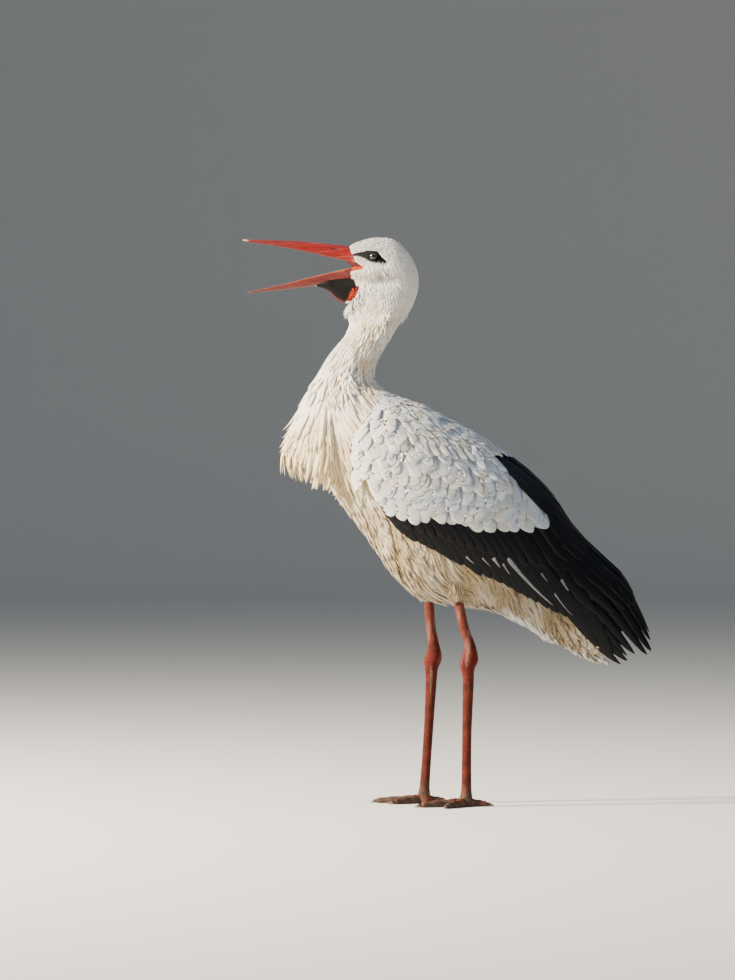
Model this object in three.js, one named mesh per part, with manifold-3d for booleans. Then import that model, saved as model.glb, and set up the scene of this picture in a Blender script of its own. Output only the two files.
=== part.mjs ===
// A white stork, standing with its bill open, as a life-size still model.
// Millimetres, +Z up. The bird faces -Y and its left side is +X. The soles stand on z = 0.
//
// The body is described by cross-sections seen from the side. A row of them is a spine, a loft runs
// through a spine, and the named parts are lengths of a loft parted by thin cuts. The folded wings are
// the layer between the body's loft and a wider one, divided by outlines drawn in the side view.

import * as THREE from "three";
import { mergeVertices } from "three/addons/utils/BufferGeometryUtils.js";
import Module from "manifold-3d";

const wasm = await Module();
wasm.setup();

// ---- Driving dimensions ----

const GAP = 0.5; // clearance between neighbouring parts
const HALF_GAP = GAP / 2;

// Each row of a spine is [crown y, crown z, keel y, keel z, half width].
const HEAD_AND_NECK = [
  [-164, 891, -160, 844, 13], // face, at the base of the bill
  [-147, 900.4, -150, 829, 19],
  [-114, 908.2, -146, 813, 24], // crown, over the eye
  [-80, 901.4, -156, 799, 27],
  [-54, 868, -164, 788, 29],
  [-47, 834, -161, 777, 30], // back of the head
  [-57, 799, -158, 768, 29],
  [-74, 775, -162, 758, 29],
  [-88, 752, -168, 747, 30],
  [-104, 726, -182, 731, 33],
  [-117, 696, -203, 702, 39],
  [-112, 672, -222, 668, 50], // base of the neck
  [-84, 655, -233, 634, 66],
];
const HEAD_END = 5.6; // places along the neck's spine where its lengths meet
const NECK_UPPER_END = 7.7;
const NECK_MIDDLE_END = 9.8;
const NECK_END = 11.5;

const TRUNK = [
  ...HEAD_AND_NECK.slice(-3),
  [-38, 630, -220, 566, 84],
  [6, 609, -166, 500, 94],
  [48, 584, -132, 436, 97],
  [84, 552, -84, 371, 94],
  [118, 516, -38, 334, 84],
  [150, 476, 56, 320, 69],
  [182, 430, 124, 291, 52], // vent
  [205, 394, 172, 262, 41],
];
const TRUNK_START = 1.5; // the same section as the end of the neck
const TRUNK_END = 9;

const TAIL = [
  [176, 438, 114, 286, 53],
  [204, 392, 166, 250, 45],
  [226, 344, 205, 233, 40],
  [243, 292, 232, 220, 34],
  [254, 250, 250, 220, 22],
];

// The outer faces of the folded wings and the back feathers.
const WINGS = [
  [-128, 676, -200, 590, 56],
  [-78, 656, -196, 540, 90],
  [-38, 640, -182, 484, 106],
  [7, 617, -160, 410, 110],
  [57, 591, -116, 356, 109],
  [104, 559, -52, 312, 103],
  [144, 524, 14, 286, 92],
  [176, 487, 76, 266, 78],
  [201, 450, 130, 244, 64],
  [238, 411, 178, 222, 52],
  [279, 373, 220, 206, 42],
  [305, 328, 260, 198, 32],
  [327, 280, 298, 196, 21],
  [337, 258, 326, 200, 10],
];
const FLIGHT_LAYER = 3; // the black feathers lie this far under the white coverts

const PLUMES = [
  [-200, 704, -150, 696, 30],
  [-228, 664, -140, 650, 56],
  [-247, 624, -135, 596, 73],
  [-258, 588, -135, 556, 79],
  [-263, 562, -140, 522, 74],
  [-262, 550, -148, 500, 64],
];
const PLUME_TIPS = 13; // pointed locks round the hem of the breast plumes
const PLUME_DROP = 24;

const BILL_UPPER = [
  [-156, 893, -138, 862.6, 14.5],
  [-166, 894.6, -158, 869.5, 13],
  [-192, 897.6, -190, 877, 10.4],
  [-236, 901.6, -236, 887.4, 7.4],
  [-278, 903.6, -278, 894.8, 4.8],
  [-312, 904.6, -312, 899.8, 2.7],
  [-328.6, 905, -328.6, 903, 1],
];
const BILL_LOWER = [
  [-138, 858.4, -146, 840, 14],
  [-156, 856.4, -158, 838, 12.4],
  [-186, 850.6, -186, 834.6, 10],
  [-222, 843.2, -222, 829.8, 7.4],
  [-262, 833, -262, 824.8, 4.8],
  [-300, 824.8, -300, 820.8, 2.7],
  [-320.6, 821, -320.6, 819.4, 1],
];
const THROAT = [
  [-213, 835, -213, 830.4, 3],
  [-196, 842, -194, 823.6, 8.6],
  [-180, 846, -178, 809.4, 11.6],
  [-164, 848, -163, 802.4, 14.6],
  [-146, 850, -148, 806, 17],
];

const EYE_RADIUS = 7.6;
const EYE_X = 16.4;
const EYE_Y = -119.5;
const EYE_Z = 876.6;

// Each leg: where it leaves the feathers, its heel joint and its foot, in the side view.
const LEG_SPREAD = 43;
const LEGS = {
  left: { side: 1, thighY: -12, hemY: 15.5, heelY: 32.5, footY: 28, yaw: 20 },
  right: { side: -1, thighY: -45, hemY: -31, heelY: -24, footY: -38, yaw: 6 },
};
const THIGH_TOP = 446;
const HEM_Z = 327; // lower end of the thigh feathers
const HEEL_TOP = 246;
const HEEL_Z = 229;
const HEEL_BASE = 208;
const TARSUS_BASE = 19;
const SHANK_RADIUS = 7.9;
const TARSUS_RADIUS = 7.2;
const HEEL_RADIUS = 13.4;
const LEG_FLATNESS = 0.82; // width over depth of the bare leg

const FOOT_RADIUS = 14;
const FOOT_HEIGHT = 19;
// Each toe: its turn from straight ahead in degrees, outward positive, its length and its half width.
const TOES = {
  middle: { turn: 0, length: 76, half: 6.2 },
  inner: { turn: -38, length: 56, half: 5.6 },
  outer: { turn: 40, length: 62, half: 5.8 },
  hind: { turn: 168, length: 33, half: 5 },
};
const SOLE_SINK = 2.6; // how far a toe's round section would reach below its flat sole
const CLAW_LENGTH = 13;

// ---- Materials ----

function material(name, color, roughness) {
  const made = new THREE.MeshStandardMaterial({ color, roughness, metalness: 0 });
  made.name = name;
  return made;
}

const WHITE_PLUMAGE = material("white_plumage", "#e9e6de", 0.9);
const CREAM_PLUMAGE = material("cream_plumage", "#e4d6bd", 0.9);
const BLACK_PLUMAGE = material("black_plumage", "#101014", 0.5);
const BILL_HORN = material("bill_horn", "#be2a26", 0.4);
const THROAT_SKIN = material("throat_skin", "#1c1817", 0.6);
const LEG_SKIN = material("leg_skin", "#b4584a", 0.6);
const CLAW_HORN = material("claw_horn", "#3a322e", 0.45);
const EYE = material("eye", "#0b0908", 0.1);

// ---- Geometry helpers ----

// Smooth sections through the rows of a spine; a section's place is a row's number or between two.
function spine(rows) {
  const last = rows.length - 1;
  const crowns = rows.map(([y, z, , , width]) => new THREE.Vector3(width, y, z));
  const keels = rows.map(([, , y, z, width]) => new THREE.Vector3(width, y, z));
  const crownCurve = new THREE.CatmullRomCurve3(crowns);
  const keelCurve = new THREE.CatmullRomCurve3(keels);
  return function section(place) {
    const t = THREE.MathUtils.clamp(place / last, 0, 1);
    return { crown: crownCurve.getPoint(t), keel: keelCurve.getPoint(t) };
  };
}

// A closed loft: a cylinder whose every vertex is carried to the section at its height.
function loft(section, from, to, sides, steps, grow = 0) {
  const geometry = new THREE.CylinderGeometry(1, 1, 1, sides, steps);
  const position = geometry.attributes.position;
  for (let i = 0; i < position.count; i++) {
    const { crown, keel } = section(from + (to - from) * (position.getY(i) + 0.5));
    const centre = crown.clone().add(keel).multiplyScalar(0.5);
    const rise = crown.clone().sub(keel).multiplyScalar(0.5);
    rise.x = 0;
    rise.setLength(rise.length() + grow);
    const x = (centre.x + grow) * position.getZ(i);
    centre.addScaledVector(rise, position.getX(i));
    position.setXYZ(i, x, centre.y, centre.z);
  }
  return geometry;
}

// A prism across the body whose outline, a list of [y, z], is drawn in the side view.
function prism(outline, from, to) {
  const shape = new THREE.Shape(outline.map(([y, z]) => new THREE.Vector2(y, z)));
  const geometry = new THREE.ExtrudeGeometry(shape, { depth: to - from, bevelEnabled: false });
  const turn = new THREE.Matrix4().makeBasis(
    new THREE.Vector3(0, 1, 0),
    new THREE.Vector3(0, 0, 1),
    new THREE.Vector3(1, 0, 0),
  );
  return geometry.applyMatrix4(turn).translate(from, 0, 0);
}

// Points of a smooth curve through the given [y, z] points.
function smooth(points, steps) {
  const curve = new THREE.SplineCurve(points.map(([y, z]) => new THREE.Vector2(y, z)));
  return curve.getPoints(steps).map((p) => [p.x, p.y]);
}

// The same curve as feather tips: `count` lobes that stand out by `depth` on the right-hand side.
function feathered(points, count, depth, lobe) {
  const curve = new THREE.SplineCurve(points.map(([y, z]) => new THREE.Vector2(y, z)));
  const stepsPerLobe = lobe.length;
  const made = [];
  for (let i = 0; i <= count * stepsPerLobe; i++) {
    const t = i / (count * stepsPerLobe);
    const p = curve.getPointAt(t);
    const tangent = curve.getTangentAt(t);
    const out = depth * lobe[i % stepsPerLobe];
    made.push([p.x + tangent.y * out, p.y - tangent.x * out]);
  }
  return made;
}
const ROUND_LOBE = [0, 0.9, 0.9]; // heights along a rounded covert's edge
const POINTED_LOBE = [0, 1]; // heights along a pointed feather's edge

function flipped(triangles) {
  const turned = Uint32Array.from(triangles);
  for (let i = 0; i < turned.length; i += 3) {
    [turned[i + 1], turned[i + 2]] = [turned[i + 2], turned[i + 1]];
  }
  return turned;
}

function solid(geometry) {
  const bare = geometry.clone();
  bare.deleteAttribute("normal");
  bare.deleteAttribute("uv");
  const merged = mergeVertices(bare, 1e-4);
  const vertProperties = Float32Array.from(merged.attributes.position.array);
  const triVerts = Uint32Array.from(merged.index.array);
  const made = new wasm.Manifold(new wasm.Mesh({ numProp: 3, vertProperties, triVerts }));
  if (made.volume() > 0) return made;
  const turned = { numProp: 3, vertProperties, triVerts: flipped(triVerts) };
  return new wasm.Manifold(new wasm.Mesh(turned));
}

// The largest body that is left after the cuts.
function cut(body, ...tools) {
  const left = tools.reduce((rest, tool) => rest.subtract(tool), body);
  const pieces = left.decompose();
  return pieces.reduce((best, piece) => (piece.volume() > best.volume() ? piece : best));
}

const stork = new THREE.Group();
stork.name = "white_stork";

function add(name, body, finish) {
  const { vertProperties, triVerts } = body.getMesh();
  const geometry = new THREE.BufferGeometry();
  geometry.setAttribute("position", new THREE.BufferAttribute(Float32Array.from(vertProperties), 3));
  geometry.setIndex(new THREE.BufferAttribute(Uint32Array.from(triVerts), 1));
  geometry.computeVertexNormals();
  const mesh = new THREE.Mesh(geometry, finish);
  mesh.name = name;
  stork.add(mesh);
}

// ---- Bill, throat and eyes ----

const billUpper = spine(BILL_UPPER);
const billLower = spine(BILL_LOWER);
const throat = spine(THROAT);
const BILL_SIDES = 10;
const BILL_STEPS = 8;
const upperBill = (grow) => solid(loft(billUpper, 0, 6, BILL_SIDES, BILL_STEPS, grow));
const lowerBill = (grow) => solid(loft(billLower, 0, 6, BILL_SIDES, BILL_STEPS, grow));
const throatBag = (grow) => solid(loft(throat, 0, 4, 10, 5, grow));

function eyeball(side, grow) {
  const ball = new THREE.SphereGeometry(EYE_RADIUS + grow, 10, 7);
  return solid(ball.translate(side * EYE_X, EYE_Y, EYE_Z));
}

add("bill_upper", upperBill(0), BILL_HORN);
add("bill_lower", lowerBill(0), BILL_HORN);
add("throat", cut(throatBag(0), lowerBill(GAP), upperBill(GAP)), THROAT_SKIN);
add("eye_left", eyeball(1, 0), EYE);
add("eye_right", eyeball(-1, 0), EYE);

// ---- Head and neck ----

const neckSpine = spine(HEAD_AND_NECK);
const PLACE_PER_MM = 0.035; // about one place along a spine for each 28 mm
const PART_CUT = HALF_GAP * PLACE_PER_MM;
const NECK_SIDES = 16;

function neckLength(from, to, steps, grow = 0) {
  const reach = grow * PLACE_PER_MM;
  return solid(loft(neckSpine, from - reach, to + reach, NECK_SIDES, steps, grow));
}

add(
  "head",
  cut(
    neckLength(0, HEAD_END - PART_CUT, 9),
    upperBill(GAP),
    lowerBill(GAP),
    throatBag(GAP),
    eyeball(1, GAP),
    eyeball(-1, GAP),
  ),
  WHITE_PLUMAGE,
);
const NECK_JOINTS = [HEAD_END, NECK_UPPER_END, NECK_MIDDLE_END, NECK_END];
const NECK_NAMES = ["neck_upper", "neck_middle", "neck_lower"];
const neckPart = (i, grow) =>
  neckLength(NECK_JOINTS[i] + PART_CUT, NECK_JOINTS[i + 1] - PART_CUT, 4, grow);
NECK_NAMES.forEach((name, i) => {
  add(name, cut(neckPart(i, 0), throatBag(GAP)), WHITE_PLUMAGE);
});
const neckBase = neckPart(1, GAP).add(neckPart(2, GAP));

// ---- Legs ----

// Rows of a spine down a leg, from [y, z, depth radius, width radius].
function legRows(centres) {
  return centres.map(([y, z, depth, width]) => [y - depth, z, y + depth, z, width]);
}

function legSpine({ thighY, hemY, heelY, footY }) {
  const tarsusY = (t) => heelY + (footY - heelY) * t;
  return spine(
    legRows([
      [thighY - 2, THIGH_TOP, 40, 27],
      [(thighY * 2 + hemY) / 3, THIGH_TOP * 0.67 + HEM_Z * 0.33, 34, 24],
      [(thighY + hemY * 2) / 3, THIGH_TOP * 0.33 + HEM_Z * 0.67, 24, 18],
      [hemY, HEM_Z, 9.6, 8.6],
      [(hemY + heelY) / 2, (HEM_Z + HEEL_TOP) / 2, SHANK_RADIUS, SHANK_RADIUS * LEG_FLATNESS],
      [heelY - 1, HEEL_TOP, SHANK_RADIUS + 1.5, SHANK_RADIUS],
      [heelY, HEEL_Z, HEEL_RADIUS, HEEL_RADIUS * LEG_FLATNESS],
      [tarsusY(0.1), HEEL_BASE, TARSUS_RADIUS + 1.6, TARSUS_RADIUS],
      [tarsusY(0.4), (HEEL_BASE + TARSUS_BASE) / 2, TARSUS_RADIUS, TARSUS_RADIUS * LEG_FLATNESS],
      [footY, TARSUS_BASE, TARSUS_RADIUS + 1.2, TARSUS_RADIUS],
    ]),
  );
}
const LEG_PARTS = [
  { name: "thigh", from: 0, to: 3, sides: 12, steps: 5, finish: WHITE_PLUMAGE },
  { name: "shank", from: 3, to: 5, sides: 10, steps: 4, finish: LEG_SKIN },
  { name: "heel", from: 5, to: 7, sides: 10, steps: 5, finish: LEG_SKIN },
  { name: "tarsus", from: 7, to: 9, sides: 10, steps: 4, finish: LEG_SKIN },
];

function legPart(leg, part, grow = 0) {
  const to = part.to - PART_CUT + grow * PLACE_PER_MM;
  const geometry = loft(legSpine(leg), part.from, to, part.sides, part.steps, grow);
  return solid(geometry.translate(leg.side * LEG_SPREAD, 0, 0));
}

// A toe lies along -Y before it is turned. Its sole is flat at z = 0 where the section would sink.
function toe(leg, { turn, length, half }, grow = 0) {
  const rows = [
    [0, 13, 0, -SOLE_SINK, half * 1.05],
    [-length * 0.3, 13, -length * 0.3, -SOLE_SINK, half],
    [-length * 0.62, 11, -length * 0.62, -SOLE_SINK, half * 0.94],
    [-length * 0.9, 9.6, -length * 0.9, -SOLE_SINK, half * 0.92],
    [-length, 7.2, -length, 0.6, half * 0.62],
  ];
  return onFloor(loft(spine(rows), 0, 4, 8, 5, grow), leg, turn);
}

function claw(leg, { turn, length, half }) {
  const start = length + GAP;
  const rows = [
    [-start, 6.8, -start, 1.4, half * 0.5],
    [-start - CLAW_LENGTH * 0.6, 5.4, -start - CLAW_LENGTH * 0.6, 0.6, half * 0.34],
    [-start - CLAW_LENGTH, 2.2, -start - CLAW_LENGTH, 0.9, half * 0.14],
  ];
  return onFloor(loft(spine(rows), 0, 2, 6, 3), leg, turn);
}

function onFloor(geometry, leg, turn) {
  const position = geometry.attributes.position;
  for (let i = 0; i < position.count; i++) position.setZ(i, Math.max(position.getZ(i), 0));
  geometry.rotateZ(THREE.MathUtils.degToRad(leg.side * (turn + leg.yaw)));
  return solid(geometry.translate(leg.side * LEG_SPREAD, leg.footY, 0));
}

// The knuckle that joins the toes, with the small web between them.
function foot(leg, grow = 0) {
  const radius = FOOT_RADIUS + grow;
  const half = FOOT_HEIGHT / 2 + grow;
  const profile = [
    [0, -half],
    [radius * 0.8, -half],
    [radius, -half * 0.3],
    [radius * 0.86, half * 0.4],
    [radius * 0.6, half],
    [0, half],
  ];
  const points = profile.map(([x, y]) => new THREE.Vector2(x, y));
  const geometry = new THREE.LatheGeometry(points, 14).rotateX(Math.PI / 2);
  return solid(geometry.translate(leg.side * LEG_SPREAD, leg.footY, FOOT_HEIGHT / 2));
}

for (const [sideName, leg] of Object.entries(LEGS)) {
  for (const part of LEG_PARTS) add(`${part.name}_${sideName}`, legPart(leg, part), part.finish);
  add(`foot_${sideName}`, cut(foot(leg), legPart(leg, LEG_PARTS[3], GAP)), LEG_SKIN);
  const middle = toe(leg, TOES.middle, GAP);
  for (const [toeName, size] of Object.entries(TOES)) {
    const tools = toeName === "middle" ? [foot(leg, GAP)] : [foot(leg, GAP), middle];
    add(`toe_${toeName}_${sideName}`, cut(toe(leg, size), ...tools), LEG_SKIN);
    add(`claw_${toeName}_${sideName}`, claw(leg, size), CLAW_HORN);
  }
}

// ---- Trunk, breast plumes and tail ----

const trunkSpine = spine(TRUNK);
const trunkSolid = (grow) =>
  solid(loft(trunkSpine, TRUNK_START - grow * PLACE_PER_MM, TRUNK_END + grow * PLACE_PER_MM, 22, 10, grow));
const thighCuts = Object.values(LEGS).map((leg) => legPart(leg, LEG_PARTS[0], GAP));
add("trunk", cut(trunkSolid(0), neckBase, ...thighCuts), WHITE_PLUMAGE);

// The plumes hang from the base of the neck to a hem of pointed locks.
function plumes() {
  const steps = 5;
  const geometry = loft(spine(PLUMES), 0, 5, PLUME_TIPS * 2, steps);
  const position = geometry.attributes.position;
  const hem = 1 - 0.5 / steps;
  const bell = new THREE.CylinderGeometry(1, 1, 1, PLUME_TIPS * 2, steps).attributes.position;
  for (let i = 0; i < position.count; i++) {
    const onHem = bell.getY(i) + 0.5 > hem && Math.hypot(bell.getX(i), bell.getZ(i)) > 0.5;
    const around = Math.atan2(bell.getZ(i), bell.getX(i)) / (Math.PI * 2);
    const isTip = Math.round(around * PLUME_TIPS * 2 + PLUME_TIPS * 2) % 2 === 0;
    if (onHem && isTip) position.setZ(i, position.getZ(i) - PLUME_DROP);
  }
  return solid(geometry);
}
add("breast_plumes", cut(plumes(), trunkSolid(GAP), neckBase), CREAM_PLUMAGE);

const TAIL_HEM = [
  [110, 296],
  [155, 266],
  [179, 254],
  [203, 245],
  [230, 231],
  [262, 234],
];
const tailOutline = [
  ...feathered(TAIL_HEM, 8, 5, POINTED_LOBE),
  [250, 440],
  [110, 440],
];
const tailBody = solid(loft(spine(TAIL), 0, 4, 16, 5));

// ---- Wings ----

// Outlines in the side view. The white coverts end in rounded feathers over the black ones.
const MANTLE_EDGE = [
  [-150, 700],
  [-104, 640],
  [-66, 602],
  [-10, 574],
  [40, 553],
  [57, 551],
];
const COVERT_FRONT = [
  [-128, 628],
  [-139, 590],
  [-136, 552],
  [-120, 505],
  [-86, 461],
];
const COVERT_HEM = [
  [-86, 461],
  [-50, 455],
  [-10, 466],
  [35, 447],
  [110, 440],
  [162, 448],
];
const COVERT_BACK = [
  [165, 456],
  [135, 494],
  [98, 536],
  [64, 560],
];
const BLACK_HEM = [
  [-84, 459],
  [-60, 426],
  [-20, 408],
  [27, 382],
  [82, 356],
  [160, 316],
  [200, 294],
  [235, 260],
  [262, 234],
];
const PRIMARY_TIPS = [
  [262, 234],
  [272, 246],
  [283, 226],
  [296, 262],
  [325, 244],
  [318, 268],
  [329, 266],
];
const mantleOutline = [
  ...smooth(MANTLE_EDGE, 8),
  [66, 562],
  [101, 555],
  [130, 600],
  [60, 720],
  [-150, 760],
];
const covertOutline = [
  ...smooth(COVERT_FRONT, 6).slice(0, -1),
  ...feathered(COVERT_HEM, 11, 7, ROUND_LOBE),
  ...smooth(COVERT_BACK, 4),
  [40, 640],
  [-128, 720],
];
const tertialOutline = [
  [20, 540],
  [160, 440],
  [190, 400],
  [234, 396],
  [300, 460],
  [200, 640],
  [60, 640],
];
const secondaryOutline = [
  ...smooth(BLACK_HEM, 10),
  [228, 300],
  [190, 396],
  [170, 490],
  [-60, 500],
  [-76, 470],
];
const primaryOutline = [
  ...PRIMARY_TIPS,
  [400, 300],
  [400, 700],
  [150, 500],
  [170, 380],
];

const wingSpine = spine(WINGS);
const WING_END = WINGS.length - 1;
const wingLayer = (grow) => solid(loft(wingSpine, 0, WING_END, 22, 13, grow));
const coverLayer = wingLayer(0);
const flightLayer = wingLayer(-FLIGHT_LAYER);
const grownBody = trunkSolid(GAP).add(neckBase);
const bodyCut = grownBody.add(grownBody.mirror([1, 0, 0])); // the right wing is the left one mirrored
const wholeWidth = (outline) => solid(prism(outline, -120, 120));
const leftHalf = solid(new THREE.BoxGeometry(200, 1200, 1200).translate(100 + HALF_GAP, 0, 500));

// One feather tract: the part of a layer inside an outline, clear of the body beneath it and of the
// outlines that lie over it. Moving an outline three ways clears a narrow seam all round it.
const SEAM_MOVES = [0, 120, 240].map((degrees) => {
  const angle = THREE.MathUtils.degToRad(degrees - 90);
  return [0, Math.cos(angle) * GAP, Math.sin(angle) * GAP];
});
function tract(layer, outline, ...over) {
  const clear = over.flatMap((other) => SEAM_MOVES.map((move) => wholeWidth(other).translate(move)));
  return cut(layer.intersect(wholeWidth(outline)), bodyCut, ...clear);
}

const mantle = tract(coverLayer, mantleOutline);
const coverts = tract(coverLayer, covertOutline, mantleOutline);
const tertials = tract(flightLayer, tertialOutline, mantleOutline, covertOutline);
const secondaries = tract(flightLayer, secondaryOutline, covertOutline, tertialOutline);
const primaries = tract(flightLayer, primaryOutline, secondaryOutline, tertialOutline);
add("mantle", mantle, WHITE_PLUMAGE);
add("tail", tract(tailBody, tailOutline, secondaryOutline, primaryOutline), WHITE_PLUMAGE);
for (const [name, whole, finish] of [
  ["wing_coverts", coverts, WHITE_PLUMAGE],
  ["wing_tertials", tertials, BLACK_PLUMAGE],
  ["wing_secondaries", secondaries, BLACK_PLUMAGE],
  ["wing_primaries", primaries, BLACK_PLUMAGE],
]) {
  const left = cut(whole.intersect(leftHalf));
  add(`${name}_left`, left, finish);
  add(`${name}_right`, left.mirror([1, 0, 0]), finish);
}

// The origin is on the floor, under the middle of the model's length.
const bounds = new THREE.Box3().setFromObject(stork);
stork.position.y = -(bounds.min.y + bounds.max.y) / 2;

export default stork;
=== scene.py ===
"""A white stork, standing with its bill open, as a life-size still model.

Shapes are drawn in millimetres, in the bird's own drawing frame: x to its left, y towards its tail, z up,
with the floor at z = 0. They move to the row's frame, in metres, when they become meshes.
The body is a loft through cross-sections given in the side view. Feathers are closed thin meshes laid on
it, worked out as whole arrays: locks are pointed tufts, vanes are broad feathers.
"""

import bpy
import numpy as np
from mathutils import Matrix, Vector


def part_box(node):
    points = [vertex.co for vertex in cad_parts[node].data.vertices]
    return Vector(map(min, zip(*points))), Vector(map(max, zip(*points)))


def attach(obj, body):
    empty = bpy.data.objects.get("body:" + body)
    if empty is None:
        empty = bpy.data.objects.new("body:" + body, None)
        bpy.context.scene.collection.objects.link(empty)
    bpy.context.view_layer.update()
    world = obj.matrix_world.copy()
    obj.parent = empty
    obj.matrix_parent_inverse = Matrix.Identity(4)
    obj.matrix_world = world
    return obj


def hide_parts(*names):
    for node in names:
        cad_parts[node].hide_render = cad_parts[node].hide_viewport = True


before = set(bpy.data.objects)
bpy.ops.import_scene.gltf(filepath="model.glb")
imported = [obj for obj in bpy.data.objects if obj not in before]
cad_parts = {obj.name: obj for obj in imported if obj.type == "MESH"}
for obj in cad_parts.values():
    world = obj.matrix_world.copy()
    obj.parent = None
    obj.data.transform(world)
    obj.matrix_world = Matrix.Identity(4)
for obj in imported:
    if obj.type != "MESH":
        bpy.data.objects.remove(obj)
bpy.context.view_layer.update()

# ---- Sizes, in millimetres ----

METRE = 0.001
BILL_TIP_Y = -328.6
SHIFT_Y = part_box("bill_upper")[0].y / METRE - BILL_TIP_Y  # from the drawing's y to the row's y

# Sections through head, neck and trunk: crown y, z; keel y, z; half width.
BODY = np.array([
    [-163, 890.5, -159, 845, 12.6],  # face, at the base of the bill
    [-147, 900.4, -150, 829, 19],
    [-114, 908.2, -146, 813, 24],  # crown, over the eye
    [-80, 901.4, -156, 799, 27],
    [-54, 868, -164, 788, 29],
    [-47, 834, -161, 777, 30],  # back of the head
    [-57, 799, -158, 768, 29],
    [-74, 775, -162, 758, 29],
    [-88, 752, -168, 747, 30],
    [-104, 726, -182, 731, 33],
    [-117, 696, -203, 702, 39],
    [-112, 672, -222, 668, 50],  # base of the neck
    [-84, 655, -233, 634, 66],
    [-38, 630, -220, 566, 84],
    [6, 609, -177, 498, 94],
    [48, 584, -129, 436, 97],
    [84, 552, -84, 371, 94],
    [118, 516, -38, 334, 84],
    [150, 476, 56, 320, 69],
    [182, 430, 124, 291, 52],  # vent
    [202, 396, 168, 262, 36],
    [212, 366, 196, 300, 12],
])
# Depth of the coat over the skin at each section.
COAT_DEPTH = np.array([0.6, 1.6, 2.4, 3.4, 5, 6, 7, 7.5, 8, 8.5, 9, 10, *[11] * 4, *[12] * 5, 6])
# The tail, with its feathers closed.
TAIL = np.array([
    [170, 448, 104, 306, 53],
    [204, 392, 158, 268, 46],
    [226, 344, 203, 244, 40],
    [243, 292, 232, 230, 34],
    [252, 256, 247, 228, 24],
])
# The outer face of both folded wings and the back between them.
WINGS = np.array([
    [-128, 676, -200, 590, 56],
    [-78, 656, -196, 540, 90],
    [-38, 640, -182, 484, 106],
    [7, 617, -160, 410, 110],
    [57, 591, -116, 356, 109],
    [104, 559, -52, 312, 103],
    [144, 524, 14, 286, 92],
    [176, 487, 76, 266, 78],
    [201, 450, 130, 244, 64],
    [238, 411, 178, 222, 52],
    [279, 373, 220, 206, 42],
    [305, 328, 260, 198, 32],
    [327, 280, 298, 196, 21],
    [337, 258, 326, 200, 10],
])
# The breast plumes' outer face, from the neck to below their hem. Here the crown is the front.
PLUMES = np.array([
    [-197, 716, -140, 706, 26],
    [-209, 694, -142, 684, 38],
    [-228, 664, -146, 650, 55],
    [-245, 624, -140, 596, 71],
    [-255, 595, -135, 556, 77],
    [-261, 571, -134, 524, 74],
    [-261, 552, -142, 499, 67],
    [-253, 530, -160, 473, 56],
])

BILL_UPPER = np.array([
    [-134, 883, -136, 861.6, 18.6],
    [-150, 891, -147, 865.4, 17.4],
    [-166, 894.6, -158, 869.5, 14.2],
    [-192, 897.6, -190, 877, 10.4],
    [-236, 901.6, -236, 887.4, 7.4],
    [-278, 903.6, -278, 894.8, 4.8],
    [-312, 904.6, -312, 899.8, 2.7],
    [-328.4, 904.9, -328.4, 903.2, 0.8],
])
BILL_LOWER = np.array([
    [-134, 859.4, -144, 842, 12],
    [-156, 858.4, -158, 838, 13.4],
    [-186, 851.8, -186, 834.6, 10],
    [-222, 843.2, -222, 829.8, 7.4],
    [-262, 833, -262, 824.8, 4.8],
    [-300, 824.8, -300, 820.8, 2.7],
    [-320.4, 821, -320.4, 819.6, 0.8],
])
THROAT = np.array([
    [-213, 835, -213, 831, 2.4],
    [-196, 842, -194, 823.6, 8],
    [-180, 846, -178, 809.4, 10.6],
    [-164, 848, -163, 802.6, 13.4],
    [-146, 850, -148, 806, 15.6],
    [-128, 850, -132, 812, 14],
])
NOSTRIL = np.array([[-188, 890.6], [-169, 887.2]])  # the ends of the slit, in the side view

EYE = np.array([16.4, -119.5, 876.6])
EYE_RADIUS = 7.6
# The dark bare skin round the eye: a line from the lores to the rear corner, and its half height.
EYE_STRIPE = np.array([
    [-153, 879, 0.8],
    [-144.4, 880.2, 2.2],
    [-137.7, 879.6, 3.6],
    [-130.4, 879, 6.2],
    [-125, 877.4, 8.4],
    [-114, 875.6, 8.4],
    [-109.5, 873, 6.0],
    [-104, 869.6, 3.8],
    [-97.9, 867.4, 0.9],
])

SIDES = {"left": 1, "right": -1}
LEG_SPREAD = 43
LEGS = {
    "left": dict(side=SIDES["left"], thigh=-12, hem=15.5, heel=32.5, foot=28, yaw=20),
    "right": dict(side=SIDES["right"], thigh=-45, hem=-31, heel=-24, foot=-38, yaw=6),
}
THIGH_TOP, HEM_Z, HEEL_TOP, HEEL_Z, HEEL_BASE, TARSUS_BASE = 446, 327, 246, 229, 208, 19
BARE_LEG_TOP = 352  # the skin under this height is a leg's
STRIPE_LOW = 860  # no eye stripe lies under this height
SHANK_RADIUS, TARSUS_RADIUS, HEEL_RADIUS, LEG_FLATNESS = 8.0, 7.6, 14.2, 0.8
FOOT_RADIUS, KNUCKLE_HEIGHT = 13, 21
TOES = {  # turn from straight ahead in degrees, outward positive; length; half width
    "middle": (0, 76, 6.2),
    "inner": (-38, 56, 5.6),
    "outer": (40, 62, 5.8),
    "hind": (168, 33, 5),
}
SOLE_SINK = 2.6
CLAW_LENGTH = 13
LEG_VOXEL = 1.05

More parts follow.
